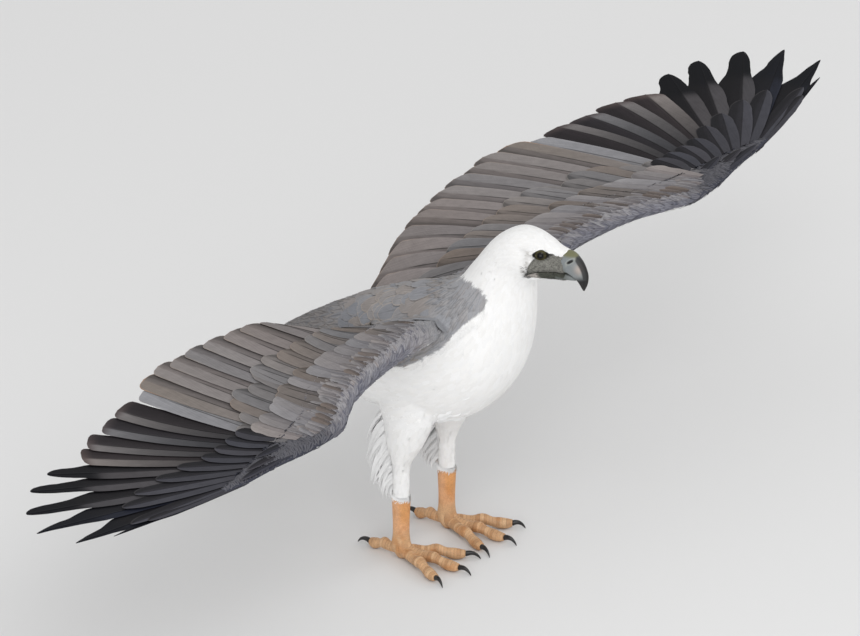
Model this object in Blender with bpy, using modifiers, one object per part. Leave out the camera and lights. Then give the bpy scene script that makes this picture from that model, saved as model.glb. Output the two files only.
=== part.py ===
"""A life-size white-bellied sea eagle, standing with both wings spread flat.

Metres, +Z up. The bird looks along -Y, its left side is +X, and its feet stand on
the floor at Z = 0. Places are given as out (from the mid-plane), ahead (of the
ankles) and up (from the floor).
"""

import math
import random

import bmesh
import bpy
from mathutils import Matrix, Vector

# Overall placing
ORIGIN_AHEAD = -0.0718   # the part's origin lies this far ahead of the ankles
GAP = 0.0003             # left between two nodes that touch

# Trunk: (ahead, up) of the back, (ahead, up) of the belly, half width
TORSO_ROWS = (
    ((-0.270, 0.282), (-0.246, 0.245), 0.030),
    ((-0.222, 0.319), (-0.180, 0.243), 0.055),
    ((-0.170, 0.354), (-0.108, 0.231), 0.075),
    ((-0.120, 0.384), (-0.038, 0.222), 0.086),
    ((-0.068, 0.411), (0.033, 0.225), 0.090),
    ((-0.012, 0.437), (0.093, 0.245), 0.091),
    ((0.030, 0.455), (0.142, 0.290), 0.088),
    ((0.057, 0.467), (0.174, 0.343), 0.081),
    ((0.075, 0.481), (0.190, 0.403), 0.070),
)
NECK_ROWS = (
    ((0.075, 0.481), (0.190, 0.403), 0.070),
    ((0.090, 0.502), (0.196, 0.452), 0.058),
    ((0.108, 0.526), (0.197, 0.488), 0.050),
    ((0.126, 0.551), (0.199, 0.499), 0.045),
)
HEAD_ROWS = (
    ((0.126, 0.551), (0.199, 0.499), 0.045),
    ((0.147, 0.572), (0.207, 0.509), 0.043),
    ((0.176, 0.589), (0.219, 0.511), 0.042),
    ((0.207, 0.591), (0.231, 0.516), 0.038),
    ((0.234, 0.582), (0.242, 0.520), 0.028),
    ((0.252, 0.574), (0.252, 0.522), 0.019),
)
RING_POINTS = 20         # points round one section of the body
RINGS_BETWEEN = 2        # sections lofted between two rows

# Eyes, which look a little forward; their lids also lean with the head's side
EYE_OUT, EYE_AHEAD, EYE_UP = 0.0200, 0.2285, 0.5640
EYE_RADIUS = 0.0105
EYE_TURN, EYE_LEAN = math.radians(24), math.radians(15)
LID_OUT = 0.0078         # from the eye's centre to the plane of its lids
LID_LENGTH, LID_HEIGHT, LID_THICKNESS = 0.0112, 0.0074, 0.0019
LID_SLANT = 0.18         # rise of the lids towards the back of the head

# Brow ridge: (forward, up, out) from the eye's centre and radius
BROW = (
    (-0.0180, 0.0065, 0.0040, 0.0014), (-0.0060, 0.0100, 0.0054, 0.0032),
    (0.0080, 0.0086, 0.0048, 0.0030), (0.0190, 0.0035, 0.0025, 0.0014),
)

# Bill: (ahead, up) of the culmen, (ahead, up) of the cutting edge, half width
UPPER_BILL_ROWS = (
    ((0.2523, 0.5740), (0.2523, 0.5365), 0.0180),
    ((0.2640, 0.5745), (0.2610, 0.5375), 0.0165),
    ((0.2760, 0.5725), (0.2690, 0.5370), 0.0145),
    ((0.2870, 0.5650), (0.2750, 0.5355), 0.0120),
    ((0.2955, 0.5545), (0.2795, 0.5330), 0.0095),
    ((0.3005, 0.5415), (0.2835, 0.5285), 0.0070),
    ((0.2998, 0.5285), (0.2870, 0.5230), 0.0045),
    ((0.2955, 0.5175), (0.2905, 0.5170), 0.0022),
    ((0.2935, 0.5140), (0.2925, 0.5140), 0.0008),
)
LOWER_BILL_ROWS = (
    ((0.2523, 0.5355), (0.2523, 0.5223), 0.0165),
    ((0.2640, 0.5360), (0.2640, 0.5232), 0.0130),
    ((0.2730, 0.5345), (0.2730, 0.5248), 0.0090),
    ((0.2785, 0.5315), (0.2785, 0.5268), 0.0045),
)
NOSTRIL_AHEAD, NOSTRIL_UP = 0.2700, 0.5610
NOSTRIL_LENGTH, NOSTRIL_HEIGHT = 0.0070, 0.0030
NOSTRIL_FLOOR = 0.0085   # how far out from the mid-plane the nostril's floor lies
MOUTH_LINE = ((0.2060, 0.5235), (0.2170, 0.5295), (0.2310, 0.5340), (0.2540, 0.5362))
MOUTH_SLOT = 0.0010
MOUTH_DEPTH_OUT = 0.0130

# Wings: leading and trailing edge as (out, ahead)
LEADING_EDGE = (
    (0.055, 0.084), (0.105, 0.101), (0.225, 0.112), (0.300, 0.122), (0.365, 0.137), (0.4125, 0.158),
    (0.450, 0.176), (0.520, 0.176), (0.600, 0.160), (0.675, 0.149), (0.750, 0.134),
    (0.825, 0.117), (0.885, 0.099), (0.960, 0.060),
)
TRAILING_EDGE = (
    (0.055, -0.150), (0.100, -0.158), (0.194, -0.176), (0.300, -0.180), (0.370, -0.176),
    (0.460, -0.178), (0.532, -0.162), (0.600, -0.146), (0.660, -0.130), (0.712, -0.110),
    (0.805, -0.110), (0.865, -0.100), (0.930, -0.062), (0.960, -0.010),
)
LEADING_UP = ((0.055, 0.414), (0.110, 0.427), (0.200, 0.435), (0.450, 0.438), (0.750, 0.434), (0.970, 0.432))
TRAILING_DROP = (
    (0.055, 0.088), (0.100, 0.072), (0.194, 0.033), (0.300, 0.025),
    (0.450, 0.018), (0.600, 0.018), (0.750, 0.011), (0.970, 0.004),
)
WING_ROOT_OUT = 0.055

# Arm that carries the feathers: chord, thickness and how far its middle sinks, against out
ARM_CHORD = ((0.055, 0.145), (0.120, 0.120), (0.225, 0.088), (0.450, 0.085), (0.600, 0.045), (0.700, 0.018))
ARM_THICKNESS = ((0.055, 0.034), (0.120, 0.036), (0.225, 0.028), (0.450, 0.020), (0.600, 0.012), (0.700, 0.008))
ARM_SINK = ((0.055, 0.0), (0.480, 0.0), (0.585, 0.0025), (0.660, 0.0050), (0.700, 0.0050))
ARM_TIP_OUT = 0.700
ARM_PROFILE = ((0.0, 0.30), (0.09, 0.85), (0.30, 1.0), (0.65, 0.75), (1.0, 0.42))

# Vanes: share of the length from the root, share of the full width there
VANE_THICKNESS = 0.0006
VANE_SHAPES = {
    "blunt": ((0.0, 0.30), (0.30, 0.75), (0.60, 1.0), (0.86, 1.0), (0.96, 0.75), (1.0, 0.35)),
    "finger": ((0.0, 0.30), (0.30, 0.80), (0.60, 1.0), (0.75, 0.93), (0.84, 0.72), (0.95, 0.58), (1.0, 0.12)),
    "covert": ((0.0, 0.55), (0.55, 1.0), (0.88, 0.85), (1.0, 0.35)),
}
WING_TILT = 0.040        # rise of a vane across its width, towards the wing's tip
STACK = 0.0009           # each primary lies this much below the next inner one at its root
TIER_RISE = 0.0030       # each tier of coverts lies this much above the one behind it

# Primaries: root and tip as (out, ahead), inner and outer width, bow as a share of the length
PRIMARY_ROOT_ENDS = ((1, 0.528), (5, 0.606), (8, 0.640), (10, 0.658)), ((1, 0.112), (5, 0.130), (10, 0.146))
PRIMARIES = (
    ((0.5475, -0.1650), 0.032, 0.030, 0.060),
    ((0.6075, -0.1490), 0.032, 0.032, 0.045),
    ((0.6630, -0.1345), 0.032, 0.027, 0.030),
    ((0.7160, -0.1110), 0.030, 0.032, 0.015),
    ((0.8030, -0.1180), 0.034, 0.020, 0.0),
    ((0.8640, -0.1040), 0.034, 0.019, 0.0),
    ((0.9280, -0.0640), 0.040, 0.018, 0.0),
    ((0.9680, -0.0150), 0.030, 0.010, 0.0),
    ((0.9650, 0.0550), 0.026, 0.014, 0.0),
    ((0.9140, 0.0890), 0.020, 0.007, 0.0),
)
BLUNT_PRIMARIES = 4
PRIMARY_COVERT_REACH = ((1, 0.24), (4, 0.31), (7, 0.48), (10, 0.72))

# Secondaries and tertials, from the wrist to the body
SECONDARY_COUNT, TERTIAL_COUNT = 9, 3
SECONDARY_FIRST_OUT, SECONDARY_STEP, TERTIAL_STEP = 0.5040, 0.0418, 0.0310
SECONDARY_TIP_AHEAD = (
    (0.060, -0.152), (0.090, -0.163), (0.194, -0.1775), (0.246, -0.180), (0.300, -0.190),
    (0.410, -0.192), (0.461, -0.184), (0.5040, -0.160),
)
SECONDARY_LEAN = ((0.060, 16.0), (0.250, 15.0), (0.400, 10.0), (0.504, 5.0))
SECONDARY_INNER, SECONDARY_OUTER = 0.031, 0.024

# Coverts of the arm: how far ahead their tips lie, against out
GREATER_TIP_AHEAD = (
    (0.080, -0.090), (0.150, -0.070), (0.225, -0.063), (0.360, -0.063), (0.393, -0.038), (0.435, -0.027),
    (0.458, -0.018), (0.495, 0.022), (0.520, 0.030),
)
MEDIAN_TIP_AHEAD = ((0.100, 0.018), (0.360, 0.018), (0.450, 0.045), (0.520, 0.062), (0.600, 0.090))
COVERT_COUNT = 14
COVERT_FIRST_OUT, COVERT_STEP = 0.5180, 0.0305
COVERT_INNER, COVERT_OUTER = 0.020, 0.016

# Alula on the wrist: root and tip as (out, ahead)
ALULA = (
    ((0.480, 0.150), (0.600, 0.122)),
    ((0.485, 0.157), (0.640, 0.134)),
    ((0.490, 0.164), (0.668, 0.144)),
)

# Legs: (up, ahead, half length, out, half width) of the feathered thigh
THIGH_ROWS = (
    (0.0973, 0.0000, 0.0138, 0.0590, 0.0125),
    (0.1250, 0.0000, 0.0150, 0.0590, 0.0138),
    (0.1550, 0.0000, 0.0172, 0.0588, 0.0160),
    (0.1750, 0.0020, 0.0240, 0.0580, 0.0215),
    (0.1950, 0.0050, 0.0330, 0.0570, 0.0275),
    (0.2250, 0.0090, 0.0420, 0.0550, 0.0330),
    (0.2600, 0.0060, 0.0540, 0.0500, 0.0360),
    (0.3000, 0.0000, 0.0500, 0.0440, 0.0340),
)
LEG_OUT = 0.0590
TARSUS_TOP, TARSUS_FOOT = 0.0970, 0.0280
TARSUS_HALF_LENGTH, TARSUS_HALF_WIDTH = 0.0130, 0.0118

# Toes: turn from straight ahead towards the outside in degrees, length to the claw
TOES = (("inner", -26.5, 0.097), ("middle", 0.0, 0.101), ("outer", 27.5, 0.099), ("hind", 180.0, 0.057))
FRONT_TOES_TURN = 4.5    # both feet point their front toes this much to the bird's left
TOE_RADIUS = 0.0078
CLAW_LENGTH = {"inner": 0.027, "middle": 0.025, "outer": 0.023, "hind": 0.027}
CLAW_RADIUS = 0.0042

# Tail: share of the rump's length, half width, half thickness
TAIL_SLOPE = math.radians(36)
TAIL_ROOT_AHEAD, TAIL_ROOT_UP = -0.2584, 0.2635
RUMP_LENGTH = 0.090
RUMP_ROWS = ((0.0, 0.029, 0.0185), (0.35, 0.030, 0.0140), (0.75, 0.030, 0.0090), (1.0, 0.024, 0.0065))
RECTRIX_COUNT = 12
RECTRIX_LENGTH, RECTRIX_SHORTENING = 0.195, 0.0075
RECTRIX_SPREAD = math.radians(2.9)
RECTRIX_INNER, RECTRIX_OUTER = 0.021, 0.018
RECTRIX_STACK = 0.0010

# Shaggy feathering, as locks: share of the length from the root, share of the full width there
LOCK_SHAPE = ((0.0, 0.75), (0.35, 1.0), (0.75, 0.75), (1.0, 0.12))
LOCK_THICKNESS = 0.0012
LOCK_SINK, LOCK_LIFT, LOCK_BACK_LIFT = 0.0035, 0.0070, 0.0140
LOCK_SEED = 7
THIGH_LOCK_ROWS = ((0.236, 0.066, 5), (0.204, 0.062, 5), (0.168, 0.058, 5))   # up, length, count
THIGH_LOCK_TURNS = (75.0, 285.0)     # from the front, round the outside and the back
THIGH_LOCK_HALF_WIDTH = 0.0115
THIGH_LOCK_HUG = 0.60                # how closely the locks at the sides follow the narrowing leg


def point(out, ahead, up, side=1):
    """A place on the bird as a vector of the part's own frame."""
    return Vector((side * out, ORIGIN_AHEAD - ahead, up))


def curve(table, x):
    """The table's value at x, on a smooth curve through its (x, value) rows."""
    rows = list(table)
    if x <= rows[0][0]:
        return rows[0][1]
    if x >= rows[-1][0]:
        return rows[-1][1]
    i = max(k for k in range(len(rows) - 1) if rows[k][0] <= x)

    def slope(k):
        low, high = max(k - 1, 0), min(k + 1, len(rows) - 1)
        return (rows[high][1] - rows[low][1]) / (rows[high][0] - rows[low][0])

    width = rows[i + 1][0] - rows[i][0]
    t = (x - rows[i][0]) / width
    return (
        (2 * t**3 - 3 * t**2 + 1) * rows[i][1]
        + (t**3 - 2 * t**2 + t) * width * slope(i)
        + (3 * t**2 - 2 * t**3) * rows[i + 1][1]
        + (t**3 - t**2) * width * slope(i + 1)
    )


def between(rows, steps):
    """The rows of a table and steps - 1 smooth rows between each two, as flat tuples."""
    flat = [
        [v for cell in row for v in (cell if isinstance(cell, tuple) else (cell,))]
        for row in rows
    ]
    columns = [list(enumerate(column)) for column in zip(*flat)]
    count = (len(rows) - 1) * steps
    return [[curve(column, k / steps) for column in columns] for k in range(count + 1)]


def loft(rings):
    """A closed bmesh through rings of points, with flat caps."""
    shape = bmesh.new()
    rows = [[shape.verts.new(p) for p in ring] for ring in rings]
    count = len(rows[0])
    for low, high in zip(rows, rows[1:]):
        for i in range(count):
            j = (i + 1) % count
            shape.faces.new((low[i], low[j], high[j], high[i]))
    shape.faces.new(rows[0][::-1])
    shape.faces.new(rows[-1])
    bmesh.ops.triangulate(shape, faces=shape.faces[:])
    bmesh.ops.recalc_face_normals(shape, faces=shape.faces[:])
    return shape


def oval(centre, across, rise, count, start=0.0):
    """A ring of count points round centre, from two half axes."""
    turns = [start + 2 * math.pi * i / count for i in range(count)]
    return [centre + across * math.sin(t) + rise * math.cos(t) for t in turns]


def as_object(name, shape, collection):
    """A mesh object in that collection from a bmesh, which it frees."""
    mesh = bpy.data.meshes.new(name)
    shape.to_mesh(mesh)
    shape.free()
    obj = bpy.data.objects.new(name, mesh)
    collection.objects.link(obj)
    return obj


def helpers():
    """The collection that holds cutters and the pieces still to be joined."""
    found = bpy.data.collections.get("helpers")
    if found is None:
        found = bpy.data.collections.new("helpers")
        bpy.context.scene.collection.children.link(found)
        found.hide_render = True
    return found


def apply_modifiers(obj):
    """Makes the evaluated mesh the object's own, and clears the modifiers."""
    graph = bpy.context.evaluated_depsgraph_get()
    mesh = bpy.data.meshes.new_from_object(obj.evaluated_get(graph))
    obj.modifiers.clear()
    obj.data = mesh


def combine(obj, others, operation, solver="MANIFOLD"):
    """Joins the other objects to obj, or cuts them from it, and removes them."""
    group = bpy.data.collections.new(obj.name + "_" + operation.lower())
    bpy.context.scene.collection.children.link(group)
    for other in others:
        helpers().objects.unlink(other)
        group.objects.link(other)
    change = obj.modifiers.new(operation.lower(), "BOOLEAN")
    change.operation = operation
    change.solver = solver
    change.operand_type = "COLLECTION"
    change.collection = group
    apply_modifiers(obj)
    for other in others:
        bpy.data.objects.remove(other)
    bpy.data.collections.remove(group)


def keep_largest(obj):
    """Drops every closed surface but the largest one."""
    shape = bmesh.new()
    shape.from_mesh(obj.data)
    shape.verts.ensure_lookup_table()
    seen, islands = set(), []
    for seed in shape.verts:
        if seed in seen:
            continue
        island, front = {seed}, [seed]
        while front:
            for edge in front.pop().link_edges:
                for vert in edge.verts:
                    if vert not in island:
                        island.add(vert)
                        front.append(vert)
        seen |= island
        islands.append(island)

    def reach(island):
        size = [max(v.co[k] for v in island) - min(v.co[k] for v in island) for k in range(3)]
        return sum(size)

    islands.sort(key=reach)
    loose = [v for island in islands[:-1] for v in island]
    bmesh.ops.delete(shape, geom=loose, context="VERTS")
    bmesh.ops.triangulate(shape, faces=shape.faces[:])
    shape.to_mesh(obj.data)
    shape.free()


def dress(obj, colour, roughness, metallic=0.0):
    """Gives a finished node its material and its smooth shading."""
    material = bpy.data.materials.new(obj.name)
    material.use_nodes = True
    shader = material.node_tree.nodes["Principled BSDF"]
    shader.inputs["Base Color"].default_value = (*colour, 1.0)
    shader.inputs["Roughness"].default_value = roughness
    shader.inputs["Metallic"].default_value = metallic
    obj.data.materials.clear()
    obj.data.materials.append(material)
    obj.data.shade_smooth()
    return obj


def swollen_copy(obj, by):
    """A cutter: a copy of obj with its surface moved out by that much."""
    shape = bmesh.new()
    shape.from_mesh(obj.data)
    shape.normal_update()
    moves = [(v, v.normal * by) for v in shape.verts]
    for vert, move in moves:
        vert.co += move
    return as_object(obj.name + "_clearance", shape, helpers())


def body_rings(rows):
    """Oval rings square to the mid-plane, the two end rings drawn in by half the gap."""
    flat = between(rows, RINGS_BETWEEN)
    rings = []
    for k, (top_ahead, top_up, low_ahead, low_up, half_width) in enumerate(flat):
        top, bottom = point(0, top_ahead, top_up), point(0, low_ahead, low_up)
        rise = (top - bottom) / 2
        forward = rise.cross(Vector((1, 0, 0))).normalized()
        if forward.y > 0:
            forward.negate()
        shift = GAP / 2 if k == 0 else -GAP / 2 if k == len(flat) - 1 else 0.0
        centre = (top + bottom) / 2 + forward * shift
        rings.append(oval(centre, Vector((half_width, 0, 0)), rise, RING_POINTS))
    return rings


def make_torso(bird):
    """The torso, from the tail's root to the base of the neck."""
    torso = as_object("torso", loft(body_rings(TORSO_ROWS)), bird)
    return dress(torso, (0.84, 0.84, 0.83), 0.9)


def make_neck(bird):
    """The neck."""
    neck = as_object("neck", loft(body_rings(NECK_ROWS)), bird)
    return dress(neck, (0.88, 0.88, 0.87), 0.9)


def eye_frame(side):
    """The eye's centre, the way it looks, and the directions ahead and up along its lids."""
    centre = point(EYE_OUT, EYE_AHEAD, EYE_UP, side)
    facing = Vector((side * math.cos(EYE_TURN), -math.sin(EYE_TURN), math.tan(EYE_LEAN))).normalized()
    forward = Vector((-side * math.sin(EYE_TURN), -math.cos(EYE_TURN), 0))
    return centre, facing, forward, side * forward.cross(facing)


def lid_ring(side):
    """The raised rim of one eye's lids."""
    centre, facing, forward, upward = eye_frame(side)
    shape = bmesh.new()
    steps, around = 12, 5
    rows = []
    for i in range(steps):
        turn = 2 * math.pi * i / steps
        spot = centre + facing * LID_OUT
        spot += (forward - upward * LID_SLANT) * LID_LENGTH * math.cos(turn)
        spot += upward * LID_HEIGHT * math.sin(turn)
        away = (forward * math.cos(turn) + upward * math.sin(turn)).normalized()
        ring = oval(spot, away * LID_THICKNESS, facing * LID_THICKNESS, around)
        rows.append([shape.verts.new(place) for place in ring])
    for i in range(steps):
        low, high = rows[i], rows[(i + 1) % steps]
        for j in range(around):
            k = (j + 1) % around
            shape.faces.new((low[j], low[k], high[k], high[j]))
    bmesh.ops.triangulate(shape, faces=shape.faces[:])
    bmesh.ops.recalc_face_normals(shape, faces=shape.faces[:])
    return as_object("lid", shape, helpers())


def brow_ridge(side):
    """The ledge of the brow that shades one eye."""
    centre, facing, forward, upward = eye_frame(side)
    rings = []
    for ahead, up, out, size in BROW:
        spot = centre + forward * ahead + facing * out + upward * up
        rings.append(oval(spot, facing * size, upward * size, 7))
    return as_object("brow", loft(rings), helpers())


def mouth_cutter(side):
    """A thin curved slot that marks the line of the mouth behind the bill."""
    rings = []
    for ahead, up in MOUTH_LINE:
        half = MOUTH_SLOT / 2
        rings.append(
            [
                point(MOUTH_DEPTH_OUT, ahead, up - half, side),
                point(0.060, ahead, up - half, side),
                point(0.060, ahead, up + half, side),
                point(MOUTH_DEPTH_OUT, ahead, up + half, side),
            ]
        )
    return as_object("mouth_slot", loft(rings), helpers())


def eye_ball(name, side, collection, extra=0.0):
    """One eye's globe, or with extra the clearance round it."""
    shape = bmesh.new()
    bmesh.ops.create_uvsphere(shape, u_segments=14, v_segments=7, radius=EYE_RADIUS + extra)
    turn = Matrix.Rotation(math.radians(90), 4, "Y")
    bmesh.ops.transform(shape, matrix=turn, verts=shape.verts)
    bmesh.ops.translate(shape, vec=point(EYE_OUT, EYE_AHEAD, EYE_UP, side), verts=shape.verts)
    bmesh.ops.triangulate(shape, faces=shape.faces[:])
    return as_object(name, shape, collection)


def make_head(bird):
    """The head with its brows, lids and the line of the mouth, and the two eyes."""
    head = as_object("head", loft(body_rings(HEAD_ROWS)), bird)
    sides = (1, -1)
    ridges = [brow_ridge(side) for side in sides] + [lid_ring(side) for side in sides]
    combine(head, ridges, "UNION")
    cutters = [mouth_cutter(side) for side in sides]
    cutters += [eye_ball("socket", side, helpers(), GAP) for side in sides]
    combine(head, cutters, "DIFFERENCE")
    keep_largest(head)
    dress(head, (0.90, 0.90, 0.89), 0.9)
    for side, word in ((1, "left"), (-1, "right")):
        dress(eye_ball("eye_" + word, side, bird), (0.10, 0.07, 0.03), 0.1)


def bill_ring(top, bottom, half_width, count, flat):
    """One section of the bill, its underside pressed flat by that share."""
    centre, rise = (top + bottom) / 2, (top - bottom) / 2
    ring = []
    for i in range(count):
        turn = 2 * math.pi * (i + 0.5) / count
        down = math.cos(turn)
        if down * flat < 0:
            down = math.copysign(abs(down) ** 0.35, down)
        ring.append(centre + Vector((half_width * math.sin(turn), 0, 0)) + rise * down)
    return ring


def bill_rings(rows, flat, steps=1):
    """All the sections of one half of the bill."""
    rings = []
    for top_ahead, top_up, low_ahead, low_up, half_width in between(rows, steps):
        top, bottom = point(0, top_ahead, top_up), point(0, low_ahead, low_up)
        rings.append(bill_ring(top, bottom, half_width, 10, flat))
    return rings


def nostril_cutter(side):
    """The slanting nostril in the side of the cere."""
    shape = bmesh.new()
    bmesh.ops.create_uvsphere(shape, u_segments=8, v_segments=6, radius=0.5)
    sizes = Matrix.Diagonal((0.016, NOSTRIL_LENGTH, NOSTRIL_HEIGHT, 1))
    tilt = Matrix.Rotation(math.radians(-35), 4, "X")
    bmesh.ops.transform(shape, matrix=tilt @ sizes, verts=shape.verts)
    place = point(NOSTRIL_FLOOR + 0.008, NOSTRIL_AHEAD, NOSTRIL_UP, side)
    bmesh.ops.translate(shape, vec=place, verts=shape.verts)
    return as_object("nostril", shape, helpers())


def make_bill(bird):
    """The hooked upper bill with its nostrils, and the lower bill."""
    upper = as_object("bill_upper", loft(bill_rings(UPPER_BILL_ROWS, 1, 2)), bird)
    combine(upper, [nostril_cutter(1), nostril_cutter(-1)], "DIFFERENCE")
    dress(upper, (0.30, 0.33, 0.33), 0.4)
    lower = as_object("bill_lower", loft(bill_rings(LOWER_BILL_ROWS, -1)), bird)
    dress(lower, (0.22, 0.24, 0.23), 0.45)


def wing_height(out, ahead):
    """The height of the wing's middle surface over a place on the plan."""
    front, back = curve(LEADING_EDGE, out), curve(TRAILING_EDGE, out)
    share = min(max((front - ahead) / (front - back), 0.0), 1.0)
    return curve(LEADING_UP, out) - curve(TRAILING_DROP, out) * share**1.2


def arm_rings(side):
    """Sections of the arm, from inside the body to beyond the wrist."""
    rings = []
    for k in range(12):
        out = WING_ROOT_OUT + (ARM_TIP_OUT - WING_ROOT_OUT) * k / 11
        front, chord = curve(LEADING_EDGE, out), curve(ARM_CHORD, out)
        half, sink = curve(ARM_THICKNESS, out) / 2, curve(ARM_SINK, out)
        upper, lower = [], []
        for share, full in ARM_PROFILE:
            ahead = front - chord * share
            middle = wing_height(out, ahead) - sink
            upper.append(point(out, ahead, middle + half * full, side))
            lower.append(point(out, ahead, middle - half * full, side))
        rings.append(upper + lower[::-1])
    return rings


def vane(rows, thickness):
    """A thin closed vane through rows of two places each."""
    shape = bmesh.new()
    bmesh.ops.create_grid(shape, x_segments=1, y_segments=len(rows) - 1, size=0.5)
    shape.verts.ensure_lookup_table()
    for vert, place in zip(shape.verts, [place for row in rows for place in row]):
        vert.co = place
    bmesh.ops.triangulate(shape, faces=shape.faces[:])
    obj = as_object("vane", shape, helpers())
    solid = obj.modifiers.new("thickness", "SOLIDIFY")
    solid.thickness = thickness
    solid.offset = 0.0
    return obj


def wing_vane(root, tip, bow, widths, kind, rise, side):
    """One feather of the wing, whose rise may change along its length."""
    chord = Vector(tip) - Vector(root)
    sideways = Vector((-chord.y, chord.x)).normalized()
    bend = (Vector(root) + Vector(tip)) / 2 + sideways * chord.length * bow * 2
    rows = []
    for share, wide in VANE_SHAPES[kind]:
        spot = Vector(root) * (1 - share) ** 2 + bend * 2 * share * (1 - share) + Vector(tip) * share**2
        run = (bend - Vector(root)) * (1 - share) + (Vector(tip) - bend) * share
        across = Vector((-run.y, run.x)).normalized()
        row = []
        for away in (-widths[0] * wide, widths[1] * wide):
            place = spot + across * away
            up = wing_height(*place) + rise(share) + WING_TILT * away
            row.append(point(place.x, place.y, up, side))
        rows.append(row)
    return vane(rows, VANE_THICKNESS)


def primary(i):
    """Root, tip, widths and bow of primary i, counted from the wrist outwards."""
    tip, inner, outer, bow = PRIMARIES[i - 1]
    root = (curve(PRIMARY_ROOT_ENDS[0], i), curve(PRIMARY_ROOT_ENDS[1], i))
    return root, tip, (inner, outer), bow


def primaries(side):
    """The ten primaries and the coverts that lie on them."""
    vanes = []
    for i in range(1, len(PRIMARIES) + 1):
        root, tip, widths, bow = primary(i)
        kind = "blunt" if i <= BLUNT_PRIMARIES else "finger"
        drop = STACK * (i - 1)
        vanes.append(wing_vane(root, tip, bow, widths, kind, lambda t, d=drop: -d * (1 - t) ** 1.5, side))
        reach = curve(PRIMARY_COVERT_REACH, i)
        spot = Vector(root).lerp(Vector(tip), reach)
        cover = (0.019, 0.013) if i < len(PRIMARIES) else (0.012, 0.008)

        def rise(t, d=drop, r=reach):
            return TIER_RISE - d * (1 - t * r) ** 1.5

        vanes.append(wing_vane(root, tuple(spot), bow, cover, "covert", rise, side))
    return vanes


def along_the_arm(out, tip_ahead, lean, root_share):
    """Root and tip of a feather whose tip lies at out and whose root is at a share of the arm's chord."""
    slope = math.tan(math.radians(lean))
    root_ahead = curve(LEADING_EDGE, out) - curve(ARM_CHORD, out) * root_share
    root_out = out + (root_ahead - tip_ahead) * slope
    root_ahead = curve(LEADING_EDGE, root_out) - curve(ARM_CHORD, root_out) * root_share
    return (root_out, root_ahead), (out, tip_ahead)


def secondaries(side):
    """The secondaries and, next to the body, the tertials."""
    outs = [SECONDARY_FIRST_OUT - SECONDARY_STEP * k for k in range(SECONDARY_COUNT)]
    outs += [outs[-1] - TERTIAL_STEP * (k + 1) for k in range(TERTIAL_COUNT)]
    vanes = []
    for out in outs:
        lean = curve(SECONDARY_LEAN, out)
        root, tip = along_the_arm(out, curve(SECONDARY_TIP_AHEAD, out), lean, 0.84)
        vanes.append(wing_vane(root, tip, 0.0, (SECONDARY_INNER, SECONDARY_OUTER), "blunt", lambda t: 0.0, side))
    return vanes


def arm_coverts(side):
    """The greater coverts and, above them, the median coverts."""
    vanes = []
    for tier, (tips, root_share) in enumerate(((GREATER_TIP_AHEAD, 0.72), (MEDIAN_TIP_AHEAD, 0.45))):
        for k in range(COVERT_COUNT):
            out = COVERT_FIRST_OUT - COVERT_STEP * (k + 0.5 * tier)
            lean = curve(SECONDARY_LEAN, out)
            root, tip = along_the_arm(out, curve(tips, out), lean, root_share)
            rise = TIER_RISE * (tier + 1)
            vanes.append(wing_vane(root, tip, 0.0, (COVERT_INNER, COVERT_OUTER), "covert", lambda t, r=rise: r, side))
    return vanes


def alula(side):
    """The small feathers that lie on the wrist's leading edge."""
    vanes = []
    for k, (root, tip) in enumerate(ALULA):
        rise = TIER_RISE * 2 - STACK * k
        vanes.append(wing_vane(root, tip, 0.0, (0.012, 0.007), "covert", lambda t, r=rise: r, side))
    return vanes


def make_wing(name, side, torso, bird):
    """One spread wing: the arm with its feathers in tiers."""
    wing = as_object(name, loft(arm_rings(side)), bird)
    combine(wing, primaries(side) + secondaries(side) + arm_coverts(side) + alula(side), "UNION")
    combine(wing, [swollen_copy(torso, GAP)], "DIFFERENCE")
    keep_largest(wing)
    return dress(wing, (0.20, 0.20, 0.21), 0.85)


def rectrix(k, root, along, upward):
    """One tail feather. They lie on each other, the middle pair on top."""
    side = 1 if k % 2 == 0 else -1
    pair = k // 2
    turn = RECTRIX_SPREAD * (pair + 0.5) * side
    direction = along * math.cos(turn) + Vector((math.sin(turn), 0, 0))
    across = Vector((math.cos(turn), 0, 0)) - along * math.sin(turn)
    start = root + Vector((side * (0.002 + 0.0035 * pair), 0, 0)) + along * 0.030
    start += upward * RECTRIX_STACK * ((RECTRIX_COUNT - 1) / 2 - k)
    length = RECTRIX_LENGTH - RECTRIX_SHORTENING * pair
    rows = []
    for share, wide in VANE_SHAPES["blunt"]:
        spot = start + direction * length * share
        edges = (spot - across * side * RECTRIX_INNER * wide, spot + across * side * RECTRIX_OUTER * wide)
        rows.append(edges)
    return vane(rows, VANE_THICKNESS)


def make_tail(torso, bird):
    """The short wedge of the tail: the rump and the twelve feathers rooted in it."""
    along = Vector((0, math.cos(TAIL_SLOPE), -math.sin(TAIL_SLOPE)))
    upward = Vector((0, math.sin(TAIL_SLOPE), math.cos(TAIL_SLOPE)))
    root = point(0, TAIL_ROOT_AHEAD, TAIL_ROOT_UP)
    rings = []
    for share, half_width, half_thickness in RUMP_ROWS:
        centre = root + along * (GAP + RUMP_LENGTH * share)
        rings.append(oval(centre, Vector((half_width, 0, 0)), upward * half_thickness, 14))
    tail = as_object("tail", loft(rings), bird)
    combine(tail, [rectrix(k, root, along, upward) for k in range(RECTRIX_COUNT)], "UNION")
    combine(tail, [swollen_copy(torso, GAP)], "DIFFERENCE")
    keep_largest(tail)
    return dress(tail, (0.84, 0.84, 0.83), 0.85)


def lock(spots, sideways, half_width):
    """A flat tapered lock along the spots, each with its own sideways direction."""
    rows = []
    for (_, wide), spot, across in zip(LOCK_SHAPE, spots, sideways):
        rows.append((spot - across * half_width * wide, spot + across * half_width * wide))
    return vane(rows, LOCK_THICKNESS)


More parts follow.
